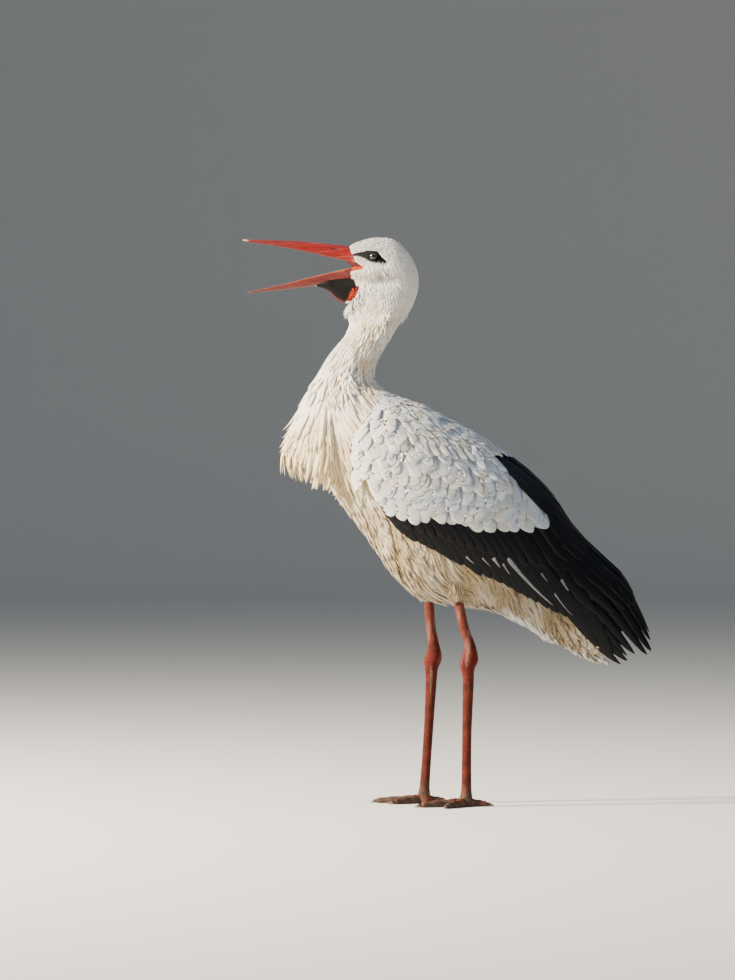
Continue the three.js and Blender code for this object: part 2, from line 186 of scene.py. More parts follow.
# Side-view outlines of the wing's tracts, y and z.
MANTLE_EDGE = np.array([[-150, 700], [-104, 640], [-66, 602], [-10, 574], [40, 553], [57, 551]])
COVERT_FRONT = np.array([[-128, 628], [-139, 590], [-136, 552], [-120, 505], [-86, 461]])
COVERT_HEM = np.array([
    [-110, 488], [-86, 461], [-52, 449], [-30, 455], [-12, 462], [16, 449], [60, 438], [110, 437],
    [148, 440], [170, 452],
])
BLACK_HEM = np.array([
    [-84, 459], [-60, 426], [-20, 408], [27, 382], [82, 356], [160, 316], [200, 294], [235, 260],
    [262, 234],
])
FULL_TURN = 2 * np.pi
EVEN_STEPS = (0.7548776662, 0.5698402910)  # the steps of an even two-way sequence


# ---- Curves, lofts and scatters ----


def through(rows, place):
    """Smooth values through rows: cubic pieces whose slope at a row is half the difference of its
    neighbours, carried on in a straight line beyond the first and last row."""
    rows = np.asarray(rows, float)
    last = len(rows) - 1
    inside = np.clip(place, 0, last)
    low = np.minimum(np.asarray(inside).astype(int), last - 1)
    t = (inside - low)[..., None]
    slopes = np.gradient(rows, axis=0)
    rise = rows[low + 1] - rows[low]
    start, end = slopes[low], slopes[low + 1]
    value = rows[low] + t * start + t**2 * (3 * rise - 2 * start - end) + t**3 * (start + end - 2 * rise)
    beyond = (place - inside)[..., None]
    return value + beyond * np.where(beyond < 0, slopes[0], slopes[-1])


def unit(vectors):
    """Vectors at length 1."""
    return vectors / (np.linalg.norm(vectors, axis=-1, keepdims=True) + 1e-12)


def dot(a, b):
    return (a * b).sum(-1, keepdims=True)


def ripple(points, size, seed):
    """Smooth unevenness from -1 to 1 with bumps about size apart: a sum of six plane sine waves."""
    rng = np.random.default_rng(seed)
    ways = unit(rng.normal(size=(6, 3))) * FULL_TURN / size / rng.uniform(0.7, 1.6, (6, 1))
    waves = np.sin(points @ ways.T + rng.uniform(0, FULL_TURN, 6))
    return np.clip(waves.sum(-1) / 3.2, -1, 1)


def line_at(line, x):
    """The line's other values where its first value is x."""
    order = np.argsort(line[:, 0])
    return [np.interp(x, line[order, 0], line[order, k]) for k in range(1, line.shape[1])]


def on_line(line, share):
    """The point at a share of a polyline's length."""
    run = np.append(0, np.cumsum(np.linalg.norm(np.diff(line, axis=0), axis=1)))
    return np.stack([np.interp(share * run[-1], run, line[:, k]) for k in range(line.shape[1])], -1)


def even_shares(count):
    """Two unlike sequences of shares of 1, which together spread evenly over a square."""
    return [(0.5 + np.arange(count) * step) % 1 for step in EVEN_STEPS]


def turns(count):
    """Angles evenly round a full turn, as one row."""
    return np.arange(count)[None, :] * FULL_TURN / count


def triple(a, b, c):
    """Three values for each feather, each given as one number or as an array of them."""
    return np.stack(np.broadcast_arrays(a, b, c), -1)


def chosen(on, *arrays):
    """Each array's values where on is true."""
    return [values[on] for values in arrays]


class Loft:
    """A surface through side-view sections. At a place along the rows and an angle from the crown, the
    point is the section's middle + half its rise * cos(angle), and half width * sin(angle) across."""

    def __init__(self, rows, inset=0.0, middle=0.0):
        rows = np.array(rows, float)
        rise = (rows[:, 0:2] - rows[:, 2:4]) / 2
        length = np.linalg.norm(rise, axis=1)
        step = rise * (np.minimum(inset, length * 0.8) / length)[:, None]
        rows[:, 0:2] -= step
        rows[:, 2:4] += step
        rows[:, 4] = np.maximum(rows[:, 4] - inset, rows[:, 4] * 0.2)
        self.rows, self.middle, self.last = rows, middle, len(rows) - 1

    def point(self, place, angle):
        row = through(self.rows, place)
        cos = np.cos(angle)
        y = (row[..., 0] + row[..., 2]) / 2 + (row[..., 0] - row[..., 2]) / 2 * cos
        z = (row[..., 1] + row[..., 3]) / 2 + (row[..., 1] - row[..., 3]) / 2 * cos
        return np.stack([self.middle + row[..., 4] * np.sin(angle), y, z], -1)

    def frame(self, place, angle):
        """Point, outward normal, and the steps per unit of place and of angle, by small differences."""
        h = 1e-3
        here = self.point(place, angle)
        along = (self.point(place + h, angle) - self.point(place - h, angle)) / (2 * h)
        around = (self.point(place, angle + h) - self.point(place, angle - h)) / (2 * h)
        opposite = self.point(place, angle + np.pi)
        normal = unit(np.cross(along, around))
        return here, normal * np.where(dot(normal, here - opposite) < 0, -1, 1), along, around

    def side(self, y, z):
        """The place and angle on the left side over a side-view point: halving the range of places
        until the point is on the section's line, then the angle whose cosine is its share of the rise."""
        low, high = np.zeros_like(y), np.full_like(y, float(self.last))
        for _ in range(20):
            mid = (low + high) / 2
            row = through(self.rows, mid)
            rise = row[..., 0:2] - row[..., 2:4]
            turn = rise[..., 0] * (z - row[..., 3]) - rise[..., 1] * (y - row[..., 2])
            low, high = np.where(turn < 0, mid, low), np.where(turn < 0, high, mid)
        row = through(self.rows, low)
        rise = (row[..., 0:2] - row[..., 2:4]) / 2
        off = np.stack([y, z], -1) - (row[..., 0:2] + row[..., 2:4]) / 2
        return low, np.arccos(np.clip((rise * off).sum(-1) / (rise**2).sum(-1), -0.999, 0.999))

    def drape(self, y, z, height):
        """Points over side-view places, at a height along the surface's outward normal."""
        place, angle = self.side(y, z)
        half = through(self.rows, place)[..., 4]
        x = half * np.maximum(np.sin(angle), 0.16)
        _, normal, _, _ = self.frame(place, np.clip(angle, 0.3, np.pi - 0.3))
        return np.stack([x, y, z], -1) + normal * height[..., None]


def scatter(surface, places, angles, spacing, seed):
    """Roots over a patch, as place, angle and point: an even two-way sequence, thinned by chance to one
    for each spacing squared."""
    rng = np.random.default_rng(seed)

    def density(place, angle):
        _, _, along, around = surface.frame(place, angle)
        return np.linalg.norm(np.cross(along, around), axis=-1) / np.interp(place, *spacing) ** 2

    grid = np.meshgrid(np.linspace(*places, 60), np.linspace(*angles, 40))
    peak = density(*grid).max()
    count = int(peak * (places[1] - places[0]) * (angles[1] - angles[0]))
    share, other = even_shares(count)
    place = places[0] + share * (places[1] - places[0])
    angle = angles[0] + other * (angles[1] - angles[0])
    place, angle = chosen(rng.random(count) < density(place, angle) / peak, place, angle)
    return place, angle, surface.point(place, angle)


# ---- Meshes ----


def to_row(points):
    """The drawing's millimetres as the row's metres."""
    return (points + np.array([0, SHIFT_Y, 0])) * METRE


def mark(mesh, tint=None, lie=None):
    """Writes a colour and a lie at each of the mesh's points, and smooths its faces."""
    if tint is not None:
        colours = np.concatenate([tint, np.ones((len(tint), 1))], 1).astype(np.float32)
        mesh.attributes.new("tint", "FLOAT_COLOR", "POINT").data.foreach_set("color", colours.ravel())
    if lie is not None:
        vectors = lie.astype(np.float32).ravel()
        mesh.attributes.new("lie", "FLOAT_VECTOR", "POINT").data.foreach_set("vector", vectors)
    mesh.polygons.foreach_set("use_smooth", np.ones(len(mesh.polygons), bool))


def show(name, data):
    """A new object in the scene that holds a mesh, a lamp or a lens."""
    shown = bpy.data.objects.new(name, data)
    bpy.context.scene.collection.objects.link(shown)
    return shown


def build(name, points, faces, tint=None, lie=None, patch=None):
    """A mesh object from points in millimetres and a list of face arrays, each with its own side count.
    tint is a colour at each point, lie holds across, along and a share by chance, and patch is the
    point's place on the skin's unwrap."""
    mesh = bpy.data.meshes.new(name)
    loops = np.concatenate([f.ravel() for f in faces])
    sides = np.concatenate([np.full(len(f), f.shape[1]) for f in faces])
    mesh.vertices.add(len(points))
    mesh.vertices.foreach_set("co", to_row(points).astype(np.float32).ravel())
    mesh.loops.add(len(loops))
    mesh.loops.foreach_set("vertex_index", loops.astype(np.int32))
    mesh.polygons.add(len(sides))
    mesh.polygons.foreach_set("loop_start", (np.cumsum(sides) - sides).astype(np.int32))
    mesh.update(calc_edges=True)
    mark(mesh, tint, lie)
    if patch is not None:
        mesh.uv_layers.new(name="OFBake").uv.foreach_set("vector", patch[loops].astype(np.float32).ravel())
    mesh.validate()
    return show(name, mesh)


def ring_faces(count, rings, sides):
    """Faces of count tubes, each of a number of rings of points, with a cap on both ends."""
    tube = np.arange(count)[:, None, None] * rings * sides
    r = np.arange(rings - 1)[None, :, None] * sides
    a = np.arange(sides)[None, None, :]
    b = (a + 1) % sides
    quads = np.stack([tube + r + a, tube + r + b, tube + r + sides + b, tube + r + sides + a], -1)
    starts = np.arange(count)[:, None] * rings * sides
    root = starts + np.arange(sides)[::-1]
    tip = starts + (rings - 1) * sides + np.arange(sides)
    return [quads.reshape(-1, 4), np.concatenate([root, tip])]


def read(items, name, kind, width=1):
    """One value, or width values, of each of a mesh's items."""
    values = np.empty(len(items) * width, kind)
    items.foreach_get(name, values)
    return values


def drawn_points(mesh):
    """The mesh's points in millimetres, in the drawing's frame."""
    return read(mesh.vertices, "co", np.float32, 3).reshape(-1, 3) / METRE - [0, SHIFT_Y, 0]


def tube(name, points, **more):
    """One closed tube from points of shape rings, sides, 3."""
    rings, sides = points.shape[:2]
    flat = {key: value.reshape(rings * sides, -1) for key, value in more.items()}
    return build(name, points.reshape(-1, 3), ring_faces(1, rings, sides), **flat)


def finish(piece, material, slot, *nodes):
    """Gives a piece its material and its body, and hides the nodes that it stands in for. The slot is not
    used.
    """
    piece.data.materials.clear()
    piece.data.materials.append(material)
    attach(piece, "root")
    if nodes:
        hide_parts(*nodes)
    return piece


# ---- Finishes ----


def linear(code):
    """Linear red, green and blue of an sRGB hex colour."""
    share = np.array([int(code[k:k + 2], 16) for k in (1, 3, 5)]) / 255
    return np.where(share <= 0.04045, share / 12.92, ((share + 0.055) / 1.055) ** 2.4)


def node(tree, kind, sockets=(), **settings):
    """Adds a shader node with its settings. Each socket is given a number, a colour or the output of
    another node. Returns the node's outputs."""
    made = tree.nodes.new("ShaderNode" + kind)
    for key, value in settings.items():
        setattr(made, key, value)
    for key, value in dict(sockets).items():
        if isinstance(value, bpy.types.NodeSocket):
            tree.links.new(value, made.inputs[key])
        else:
            made.inputs[key].default_value = value
    return made.outputs


def maths(tree, operation, *parts):
    """The result of one operation on numbers and outputs."""
    return node(tree, "Math", dict(enumerate(parts)), operation=operation)[0]


def ranged(tree, value, low, high, first, last):
    """The value moved from the range low to high into the range first to last."""
    return node(tree, "MapRange", {0: value, 1: low, 2: high, 3: first, 4: last})[0]


def noise(tree, at, scale, detail, roughness=0.5):
    sockets = {"Vector": at, "Scale": scale, "Detail": detail, "Roughness": roughness}
    return node(tree, "TexNoise", sockets)["Fac"]


def shaded(tree, colour, shade):
    """The colour multiplied by the shade."""
    return node(tree, "Mix", {0: 1.0, 6: colour, 7: shade}, data_type="RGBA", blend_type="MULTIPLY")[2]


def bump(tree, height, relief):
    """The normal of a relief whose full height is given in millimetres."""
    return node(tree, "Bump", {"Height": height, "Strength": 1.0, "Distance": relief * METRE})[0]


def lie_parts(tree):
    """The three parts of the lie that the mesh carries at each point."""
    lie = node(tree, "Attribute", attribute_name="lie")["Vector"]
    return node(tree, "SeparateXYZ", {0: lie})


def start_material(name):
    """A new material, its node tree, and the colour that its mesh carries at each point."""
    material = bpy.data.materials.new(name)
    material.use_nodes = True
    tree = material.node_tree
    tree.nodes.clear()
    return material, tree, node(tree, "Attribute", attribute_name="tint")["Color"]


def end_material(material, sockets):
    """The material with its shader, whose sockets are given."""
    shader = node(material.node_tree, "BsdfPrincipled", sockets)[0]
    node(material.node_tree, "OutputMaterial", {0: shader})
    return material


def plumage(name, pitch, darkest, relief, **shader):
    """Feather keratin: closed vanes of fine barbs, which give a soft streaky sheen. The barbs lean away
    from the shaft, so a noise is drawn out along (place along - 0.7 * distance from the shaft). Real barbs
    are 0.3 mm apart; pitch is as coarse as it needs to be to show."""
    material, tree, tint = start_material(name)
    across, along, chance = lie_parts(tree)
    slant = maths(tree, "MULTIPLY_ADD", maths(tree, "ABSOLUTE", across), -0.7, along)
    barb = maths(tree, "DIVIDE", slant, pitch)
    drawn = maths(tree, "MULTIPLY", across, 0.22)
    seed = maths(tree, "MULTIPLY", chance, 61.0)
    barbs = noise(tree, node(tree, "CombineXYZ", {0: barb, 1: drawn, 2: seed})[0], 1.0, 2.0, 0.6)
    colour = shaded(tree, tint, ranged(tree, barbs, 0.3, 0.65, darkest, 1.0))
    return end_material(material, {"Base Color": colour, "Normal": bump(tree, barbs, relief), **shader})


WHITE_VANES = plumage(
    "white_feather_keratin", pitch=1.1, darkest=0.84, relief=0.25,
    Roughness=0.62, IOR=1.54,
    **{
        "Sheen Weight": 0.12, "Sheen Roughness": 0.5, "Specular IOR Level": 0.2,
        "Subsurface Weight": 0.3, "Subsurface Radius": (1.0, 0.9, 0.75), "Subsurface Scale": 1.6 * METRE,
    },
)
BLACK_VANES = plumage(
    "black_feather_keratin", pitch=1.3, darkest=0.55, relief=0.3,
    Roughness=0.42, IOR=1.54,
    **{
        "Sheen Weight": 0.01, "Sheen Roughness": 0.35, "Sheen Tint": (0.35, 0.32, 0.75, 1),
        "Specular IOR Level": 0.15,
    },
)


def skin_finish():
    """Living skin: soft and slightly oily. Its lie attribute weighs horny scales, for the legs, and fine
    folds, for the bare face and the pouch. Leg scales are about 2.5 mm across: paler grains on a darker,
    sunk ground."""
    material, tree, tint = start_material("bird_skin_and_leg_scales")
    scaly, folded, _ = lie_parts(tree)
    place = node(tree, "TexCoord")["Object"]
    longer = node(tree, "Mapping", {"Vector": place, "Scale": (1, 1, 0.72)})[0]
    cells = {"Vector": longer, "Scale": 400.0, "Randomness": 0.8}
    grains = node(tree, "TexVoronoi", cells, feature="DISTANCE_TO_EDGE")["Distance"]
    raised = ranged(tree, grains, 0.02, 0.24, 0.0, 1.0)
    scales = maths(tree, "MULTIPLY", raised, scaly)
    folds = maths(tree, "MULTIPLY", noise(tree, place, 700.0, 4.0), folded)
    edge = {0: scaly, 2: 1.0, 3: ranged(tree, raised, 0.0, 1.0, 0.5, 1.45)}
    edge = node(tree, "Mix", edge, data_type="FLOAT")[0]
    mottle = ranged(tree, noise(tree, place, 180.0, 5.0), 0.3, 0.7, 0.78, 1.12)
    return end_material(material, {
        "Base Color": shaded(tree, tint, maths(tree, "MULTIPLY", edge, mottle)),
        "Normal": bump(tree, maths(tree, "ADD", scales, folds), 0.45),
        "Roughness": 0.52, "IOR": 1.45, "Specular IOR Level": 0.16,
    })


def horn_finish(name, streaks, gloss):
    """Horn grown in thin layers along the bill or claw: smooth, half glossy, with fine lengthwise
    streaks a third of a millimetre wide and dry scuffs that are rougher and paler."""
    material, tree, tint = start_material(name)
    drawn = {"Vector": node(tree, "TexCoord")["Object"], "Scale": (1, 0.07, 1)}
    drawn = node(tree, "Mapping", drawn)[0]
    fibres, scuffs = noise(tree, drawn, 1500.0, 3.0), noise(tree, drawn, 320.0, 6.0, 0.7)
    worn = {0: ranged(tree, scuffs, 0.56, 0.74, 0.0, streaks), 6: tint, 7: (*linear("#b87460"), 1)}
    worn = node(tree, "Mix", worn, data_type="RGBA")[2]
    return end_material(material, {
        "Base Color": shaded(tree, worn, ranged(tree, fibres, 0.3, 0.7, 0.66, 1.12)),
        "Roughness": ranged(tree, scuffs, 0.35, 0.7, gloss, gloss + 0.25),
        "Normal": bump(tree, fibres, 0.12), "IOR": 1.55, "Specular IOR Level": 0.4,
    })


def eye_finish():
    """A wet eyeball: a brown-black iris under a clear, glossy cornea."""
    material, tree, tint = start_material("wet_eye")
    flecks = noise(tree, node(tree, "TexCoord")["Object"], 1400.0, 3.0)
    return end_material(material, {
        "Base Color": shaded(tree, tint, ranged(tree, flecks, 0.3, 0.7, 0.6, 1.3)),
        "Roughness": 0.12, "IOR": 1.38, "Coat Weight": 1.0, "Coat Roughness": 0.03,
    })


SKIN = skin_finish()
BILL_HORN = horn_finish("red_bill_horn", streaks=0.5, gloss=0.3)
CLAW_HORN = horn_finish("dark_claw_horn", streaks=0.3, gloss=0.35)
WET_EYE = eye_finish()


# ---- Markings and painted shade, the same on skin and coat ----

WHITE = linear("#f3f0e9")
CREAM = linear("#e2c896")
TAN = linear("#9a8662")
SAND = linear("#8f7650")
BLACK = linear("#050508")
LORE = linear("#1d1a19")


def step(x, low, high):
    """0 below low, 1 above high, smooth between; low may be the greater."""
    t = np.clip((x - low) / (high - low), 0, 1)
    return t * t * (3 - 2 * t)


def blend(a, b, share):
    return a + (b - a) * np.asarray(share)[..., None]


def in_outline(outline, y, z, grow=0.0):
    """True inside a polygon of the side view, or within grow of it."""
    inside = np.zeros(np.shape(y), bool)
    near = np.full(np.shape(y), np.inf)
    for (y0, z0), (y1, z1) in zip(outline, np.roll(outline, -1, 0)):
        crosses = (z0 > z) != (z1 > z)
        inside ^= crosses & (y < (y1 - y0) * (z - z0) / (z1 - z0 + 1e-12) + y0)
        length = np.hypot(y1 - y0, z1 - z0)
        share = np.clip(((y - y0) * (y1 - y0) + (z - z0) * (z1 - z0)) / length**2, 0, 1)
        near = np.minimum(near, np.hypot(y - y0 - share * (y1 - y0), z - z0 - share * (z1 - z0)))
    return (inside & (near > -grow)) | (near < grow)


def in_eye_stripe(y, z, grow=0.0):
    """True in the dark stripe through the eye, or within grow of it."""
    middle, half = line_at(EYE_STRIPE, y)
    within = (y > EYE_STRIPE[0, 0] - grow) & (y < EYE_STRIPE[-1, 0] + grow)
    return within & (np.abs(z - middle) < half + grow)


# The vent's lower edge in the side view.
VENT_HEM = np.array([[61, 313], [93, 306], [118, 294], [147, 274], [181, 247], [228, 228], [250, 228]])


def coat_tint(points):
    """White, creamier on the breast and the neck's sides, tan on the belly from loose down and dust, deepened
    as painted shade on the underside, and sandy in small mottles round the eye. The fold under the cheek is
    darker sand, as painted shade in the crease. The vent is painted darker as shade, down to a hem of white
    tips."""
    x, y, z = points[..., 0], points[..., 1], points[..., 2]
    uneven = ripple(points, 46, 5)
    breast = step(z, 740, 600) * step(y, -110, -190) * 0.55
    neck = step(z, 835, 770) * step(np.abs(x), 11, 25) * (0.4 + 0.45 * ripple(points * [1, 1, 0.4], 11, 10))
    belly = step(z + 0.55 * y, 505, 395) * step(z, 560, 440) * step(y, 275, 215)
    colour = blend(WHITE, CREAM, np.clip(np.maximum(breast, neck) + 0.15 * uneven, 0, 1))
    mottle = step(ripple(points, 3.4, 11), -0.3, 0.35)
    face = np.exp(-(((y + 126) / 27) ** 2) - ((z - 878) / 11) ** 2) * step(z, 905, 897)
    # Painted shade: darker sand in the crease of the fold under the cheek.
    fold = np.exp(-(((y + 116) / 30) ** 2) - ((z - 842) / 6.5) ** 2)
    colour = blend(colour, SAND, np.clip((0.6 * face + 0.85 * fold) * (0.25 + 0.75 * mottle), 0, 1))
    # The belly's tan is partly loose down and dust and partly painted shade on the underside.
    colour = blend(colour, TAN, np.clip(belly * (0.85 + 0.25 * uneven), 0, 1))
    # Painted shade: the vent is up to 42 per cent darker, as shade under the body.
    vent = step(y, 30, 120) * step(z + 0.5 * y, 430, 390)
    colour = colour * (1 - 0.42 * vent[..., None])
    reach = 7 + 6 * ripple(points * [0.2, 1, 1], 12, 14)
    over_hem = z - np.interp(y, *VENT_HEM.T)
    tips = step(over_hem, reach, reach - 8) * step(y, 60, 110) * step(z, 340, 330)
    colour = blend(colour, WHITE, 0.7 * tips)
    stripe = in_eye_stripe(y, z, 0.8) & (z > STRIPE_LOW) & (np.abs(x) > 6)
    return np.where(stripe[..., None], LORE * (0.7 + 0.6 * mottle[..., None]), colour)


# ---- Head and body skin ----

# Swellings of the head's sides: y, z, reach along y, reach along z, height.
HEAD_RELIEF = np.array([
    [-128, 888, 17, 5, 2.0],  # brow
    [-121, 876.6, 14, 7, -2.2],  # socket
    [-150, 876, 10, 8, -1.0],  # lores
    [-122, 853, 19, 8, 4.2],  # cheek
    [-112, 836, 27, 5.5, -4.2],  # fold under the cheek
    [-118, 818, 20, 8, 2.2],  # throat's side, full of air
    [-88, 868, 16, 14, 1.0],
])


class HeadedLoft(Loft):
    """The body's loft, with the head's sides moved out by a sum of round swellings, each its height *
    exp(-(share of its reach)^2)."""

    def point(self, place, angle):
        points = super().point(place, angle)
        y, z = points[..., 1, None], points[..., 2, None]
        at_y, at_z, reach_y, reach_z, height = HEAD_RELIEF.T
        swell = (height * np.exp(-((y - at_y) / reach_y) ** 2 - ((z - at_z) / reach_z) ** 2)).sum(-1)
        points[..., 0] += swell * np.sin(angle)
        return points


SKIN_FACE = HeadedLoft(BODY, COAT_DEPTH)

# The open mouth's wedge, the bare pouch, the red skin behind it and the bare gape, in the side view.
MOUTH = np.array([[-149.4, 860.2], [-162.8, 869.2], [-178, 873.4], [-178, 853.5], [-162.8, 857.4]])
POUCH = np.array([
    [-216, 838], [-168, 846], [-152, 840], [-148.7, 834.2], [-149.3, 827.5], [-155, 825],
    [-163.7, 808], [-166, 801],
    [-186, 803],
])
POUCH_REAR = np.array([
    [-166, 803], [-163.7, 808], [-155.1, 825], [-147.6, 829.6], [-136, 827.5], [-131.6, 817], [-133.5, 806],
    [-142, 797], [-155, 793],
])
GAPE_SKIN = np.array([
    [-170, 895], [-159.8, 895], [-159.8, 885.7], [-156.7, 879.5], [-153.6, 874.6], [-150.8, 869.8],
    [-144.4, 865.4],
    [-139, 862], [-134.5, 858.9], [-141, 855.4], [-152, 854.4], [-157.9, 853.4], [-159.8, 850.8],
    [-159.1, 846.6],
    [-156.1, 843], [-170, 843],
])


def skin_tint(points):
    """Colours of skin: the coat's own markings and painted shade under feathers, and the bare parts' colours.
    """
    x, y, z = points[..., 0], points[..., 1], points[..., 2]
    colour = coat_tint(points) * 0.8
    fine, broad = ripple(points, 3.4, 3), ripple(points, 22, 4)
    red_rear = in_outline(POUCH_REAR, y, z, 1) & (np.abs(x) < 30) & (z > 806) & (y < -143)
    mottled = blend(linear("#43100d"), linear("#c23a16"), step(fine, -0.05, 0.25))
    colour = np.where(red_rear[..., None], mottled, colour)
    pouch = in_outline(POUCH, y, z, 1.0)
    colour = np.where(pouch[..., None], blend(linear("#040304"), linear("#0d090a"), step(fine, 0, 1)), colour)
    hem = np.interp(y, THROAT[:, 2], THROAT[:, 3])
    red_hem = pouch * step(z, hem + 3.0, hem + 1.2) * step(y, -205, -185)
    colour = blend(colour, linear("#571110"), 0.9 * red_hem)
    mouth = in_outline(GAPE_SKIN, y, z, 1.0)
    orange = step(z, 861.6, 859.6) * step(y, -156, -152) * step(z, 853.5, 855)
    colour = np.where(mouth[..., None], blend(linear("#4c0805"), linear("#8f2f08"), orange), colour)
    stripe = in_eye_stripe(y, z, 0.8) & (z > STRIPE_LOW)
    colour = np.where(stripe[..., None], linear("#070607"), colour)
    legs = z < BARE_LEG_TOP
    red = blend(linear("#431209"), linear("#5f2214"), 0.5 + 0.5 * broad)
    red = blend(red, linear("#70372b"), step(z, 246, 290) * 0.6)
    red = blend(red, linear("#5c1006"), 0.7 * np.exp(-(((z - HEEL_Z) / 21) ** 2)))
    limed = step(ripple(points * [1, 1, 0.12], 7, 9), 0.1, 0.8) * step(z, 150, 205) * step(z, 345, 300)
    red = blend(red, linear("#94796f"), 0.3 * limed)
    foot = blend(linear("#4a3a32"), linear("#74402c"), step(ripple(points, 13, 8), 0.0, 0.9))
    red = blend(red, foot, step(z, 44, 16))
    return np.where(legs[..., None], red, colour)


def outward_tube(points):
    """The same tube with its rings turned so that its faces point outwards."""
    b = np.roll(points, -1, 1)
    spans = np.cross(b[:-1] - points[:-1], points[1:] - points[:-1])
    middle = points.mean((0, 1))
    return points if ((points[:-1] - middle) * spans).sum() > 0 else points[:, ::-1]


def outward_pair(points, colour):
    """A tube's points and colours, with its rings turned so that its faces point outwards."""
    return (points, colour) if outward_tube(points) is points else (points[:, ::-1], colour[:, ::-1])


def loft_tube(loft, places, sides):
    """A closed tube of a loft's sections at the given places."""
    return outward_tube(loft.point(places[:, None], turns(sides)))


def use(piece, kind, **settings):
    """Adds a modifier with its settings and applies it."""
    modifier = piece.modifiers.new(kind.lower(), kind)
    for key, value in settings.items():
        setattr(modifier, key, value)
    shown = piece.evaluated_get(bpy.context.evaluated_depsgraph_get())
    mesh = bpy.data.meshes.new_from_object(shown)
    piece.modifiers.clear()
    old, piece.data = piece.data, mesh
    bpy.data.meshes.remove(old)


def join(name, pieces):
    """One object that holds every piece's mesh, still as separate shells."""
    counts = np.cumsum([0] + [len(p.data.vertices) for p in pieces])
    points, faces = [], {}
    for piece, start in zip(pieces, counts):
        points.append(drawn_points(piece.data))
        loops = read(piece.data.loops, "vertex_index", np.int32)
        sides = read(piece.data.polygons, "loop_total", np.int32)
        firsts = np.cumsum(sides) - sides
        for count in np.unique(sides):
            corners = firsts[sides == count][:, None] + np.arange(count)
            faces.setdefault(count, []).append(loops[corners] + start)
        bpy.data.objects.remove(piece)
    return build(name, np.concatenate(points), [np.concatenate(f) for f in faces.values()])


def leg_rows(leg, coat):
    """Sections down a leg, from the thigh to the foot: front y, z; rear y, z; half width."""
    rows = []

    def row(y, z, depth, width):
        rows.append([y - depth, z, y + depth, z, width])

    def tarsus_y(t):
        return leg["heel"] + (leg["foot"] - leg["heel"]) * t

    if coat:
        row(leg["thigh"] - 2, THIGH_TOP, 40, 27)
        row((leg["thigh"] * 2 + leg["hem"]) / 3, THIGH_TOP * 0.67 + HEM_Z * 0.33, 34, 24)
        row((leg["thigh"] + leg["hem"] * 2) / 3, THIGH_TOP * 0.33 + HEM_Z * 0.67, 24, 18)
        row(leg["hem"], HEM_Z, 9.6, 8.6)
        row(leg["hem"] + 1, HEM_Z - 12, 5, 4)
        return rows
    row(leg["hem"] - 4, HEM_Z + 26, 8.6, 7.4)
    row(leg["hem"], HEM_Z, 8.2, 6.9)
    row((leg["hem"] + leg["heel"]) / 2, (HEM_Z + HEEL_TOP) / 2, SHANK_RADIUS, SHANK_RADIUS * LEG_FLATNESS)
    row(leg["heel"] + 0.6, HEEL_TOP + 14, SHANK_RADIUS + 0.8, SHANK_RADIUS * 0.98)
    row(leg["heel"] + 1.8, HEEL_Z + 12, HEEL_RADIUS - 1.8, HEEL_RADIUS * 0.78)
    row(leg["heel"] - 0.4, HEEL_Z, HEEL_RADIUS, HEEL_RADIUS * LEG_FLATNESS)
    row(leg["heel"] - 2.2, HEEL_Z - 13, HEEL_RADIUS - 3.4, TARSUS_RADIUS + 2.0)
    row(tarsus_y(0.14) - 0.6, HEEL_BASE - 12, TARSUS_RADIUS + 1.4, TARSUS_RADIUS + 0.2)
    row(tarsus_y(0.4) - 1.6, (HEEL_BASE + TARSUS_BASE) / 2, TARSUS_RADIUS, TARSUS_RADIUS * LEG_FLATNESS)
    row(tarsus_y(0.9), TARSUS_BASE + 16, TARSUS_RADIUS + 0.4, TARSUS_RADIUS * 0.92)
    row(leg["foot"], TARSUS_BASE - 4, TARSUS_RADIUS + 2.4, TARSUS_RADIUS + 1)
    row(leg["foot"], TARSUS_BASE - 12, TARSUS_RADIUS + 1, TARSUS_RADIUS)
    return rows


def on_floor(points, leg, turn):
    """Turns a toe, drawn along -Y, to its heading and moves it to its foot, its sole flat on the floor."""
    angle = np.radians(leg["side"] * (turn + leg["yaw"]))
    x, y = points[..., 0], points[..., 1]
    turned = np.stack([
        x * np.cos(angle) - y * np.sin(angle) + leg["side"] * LEG_SPREAD,
        x * np.sin(angle) + y * np.cos(angle) + leg["foot"],
        np.maximum(points[..., 2], 0),
    ], -1)
    return outward_tube(turned)


def toe_tube(leg, turn, length, half):
    """A toe: a loft that swells at its joints, with cross scutes 3.2 mm apart over its top."""
    rows = [
        [6, 15, 6, -SOLE_SINK, half * 1.2],
        [-length * 0.3, 13, -length * 0.3, -SOLE_SINK, half],
        [-length * 0.62, 11, -length * 0.62, -SOLE_SINK, half * 0.94],
        [-length * 0.9, 9.6, -length * 0.9, -SOLE_SINK, half * 0.92],
        [-length - 0.5, 7.2, -length - 0.5, 0.6, half * 0.62],
    ]
    angles = turns(28)
    points = Loft(rows).point(np.linspace(0, 4, int(length))[:, None], angles)
    run = -points[..., 1]
    joints = 1 + 0.09 * np.cos(FULL_TURN * run / (length / 3)) * step(run, 8, 20)
    scutes = np.abs(np.sin(np.pi * run / 3.2)) ** 0.5 * 0.55 * step(np.cos(angles), 0.1, 0.7)
    points[..., 0] *= joints
    points[..., 2] = (points[..., 2] - 4) * joints + 4 + (scutes - 0.4) * step(run, 2, 10)
    return on_floor(points, leg, turn)


def knuckle_tube(leg):
    """The pad that joins the toes: a low cone whose radius shrinks by 0.62 * t^1.6 at each height t."""
    t = np.linspace(0, 1, 14)[:, None]
    radius = FOOT_RADIUS * (1 - 0.62 * t**1.6)
    turn = turns(40)
    x, y = leg["side"] * LEG_SPREAD + radius * np.cos(turn), leg["foot"] + radius * np.sin(turn)
    return outward_tube(triple(x, y, KNUCKLE_HEIGHT * t))


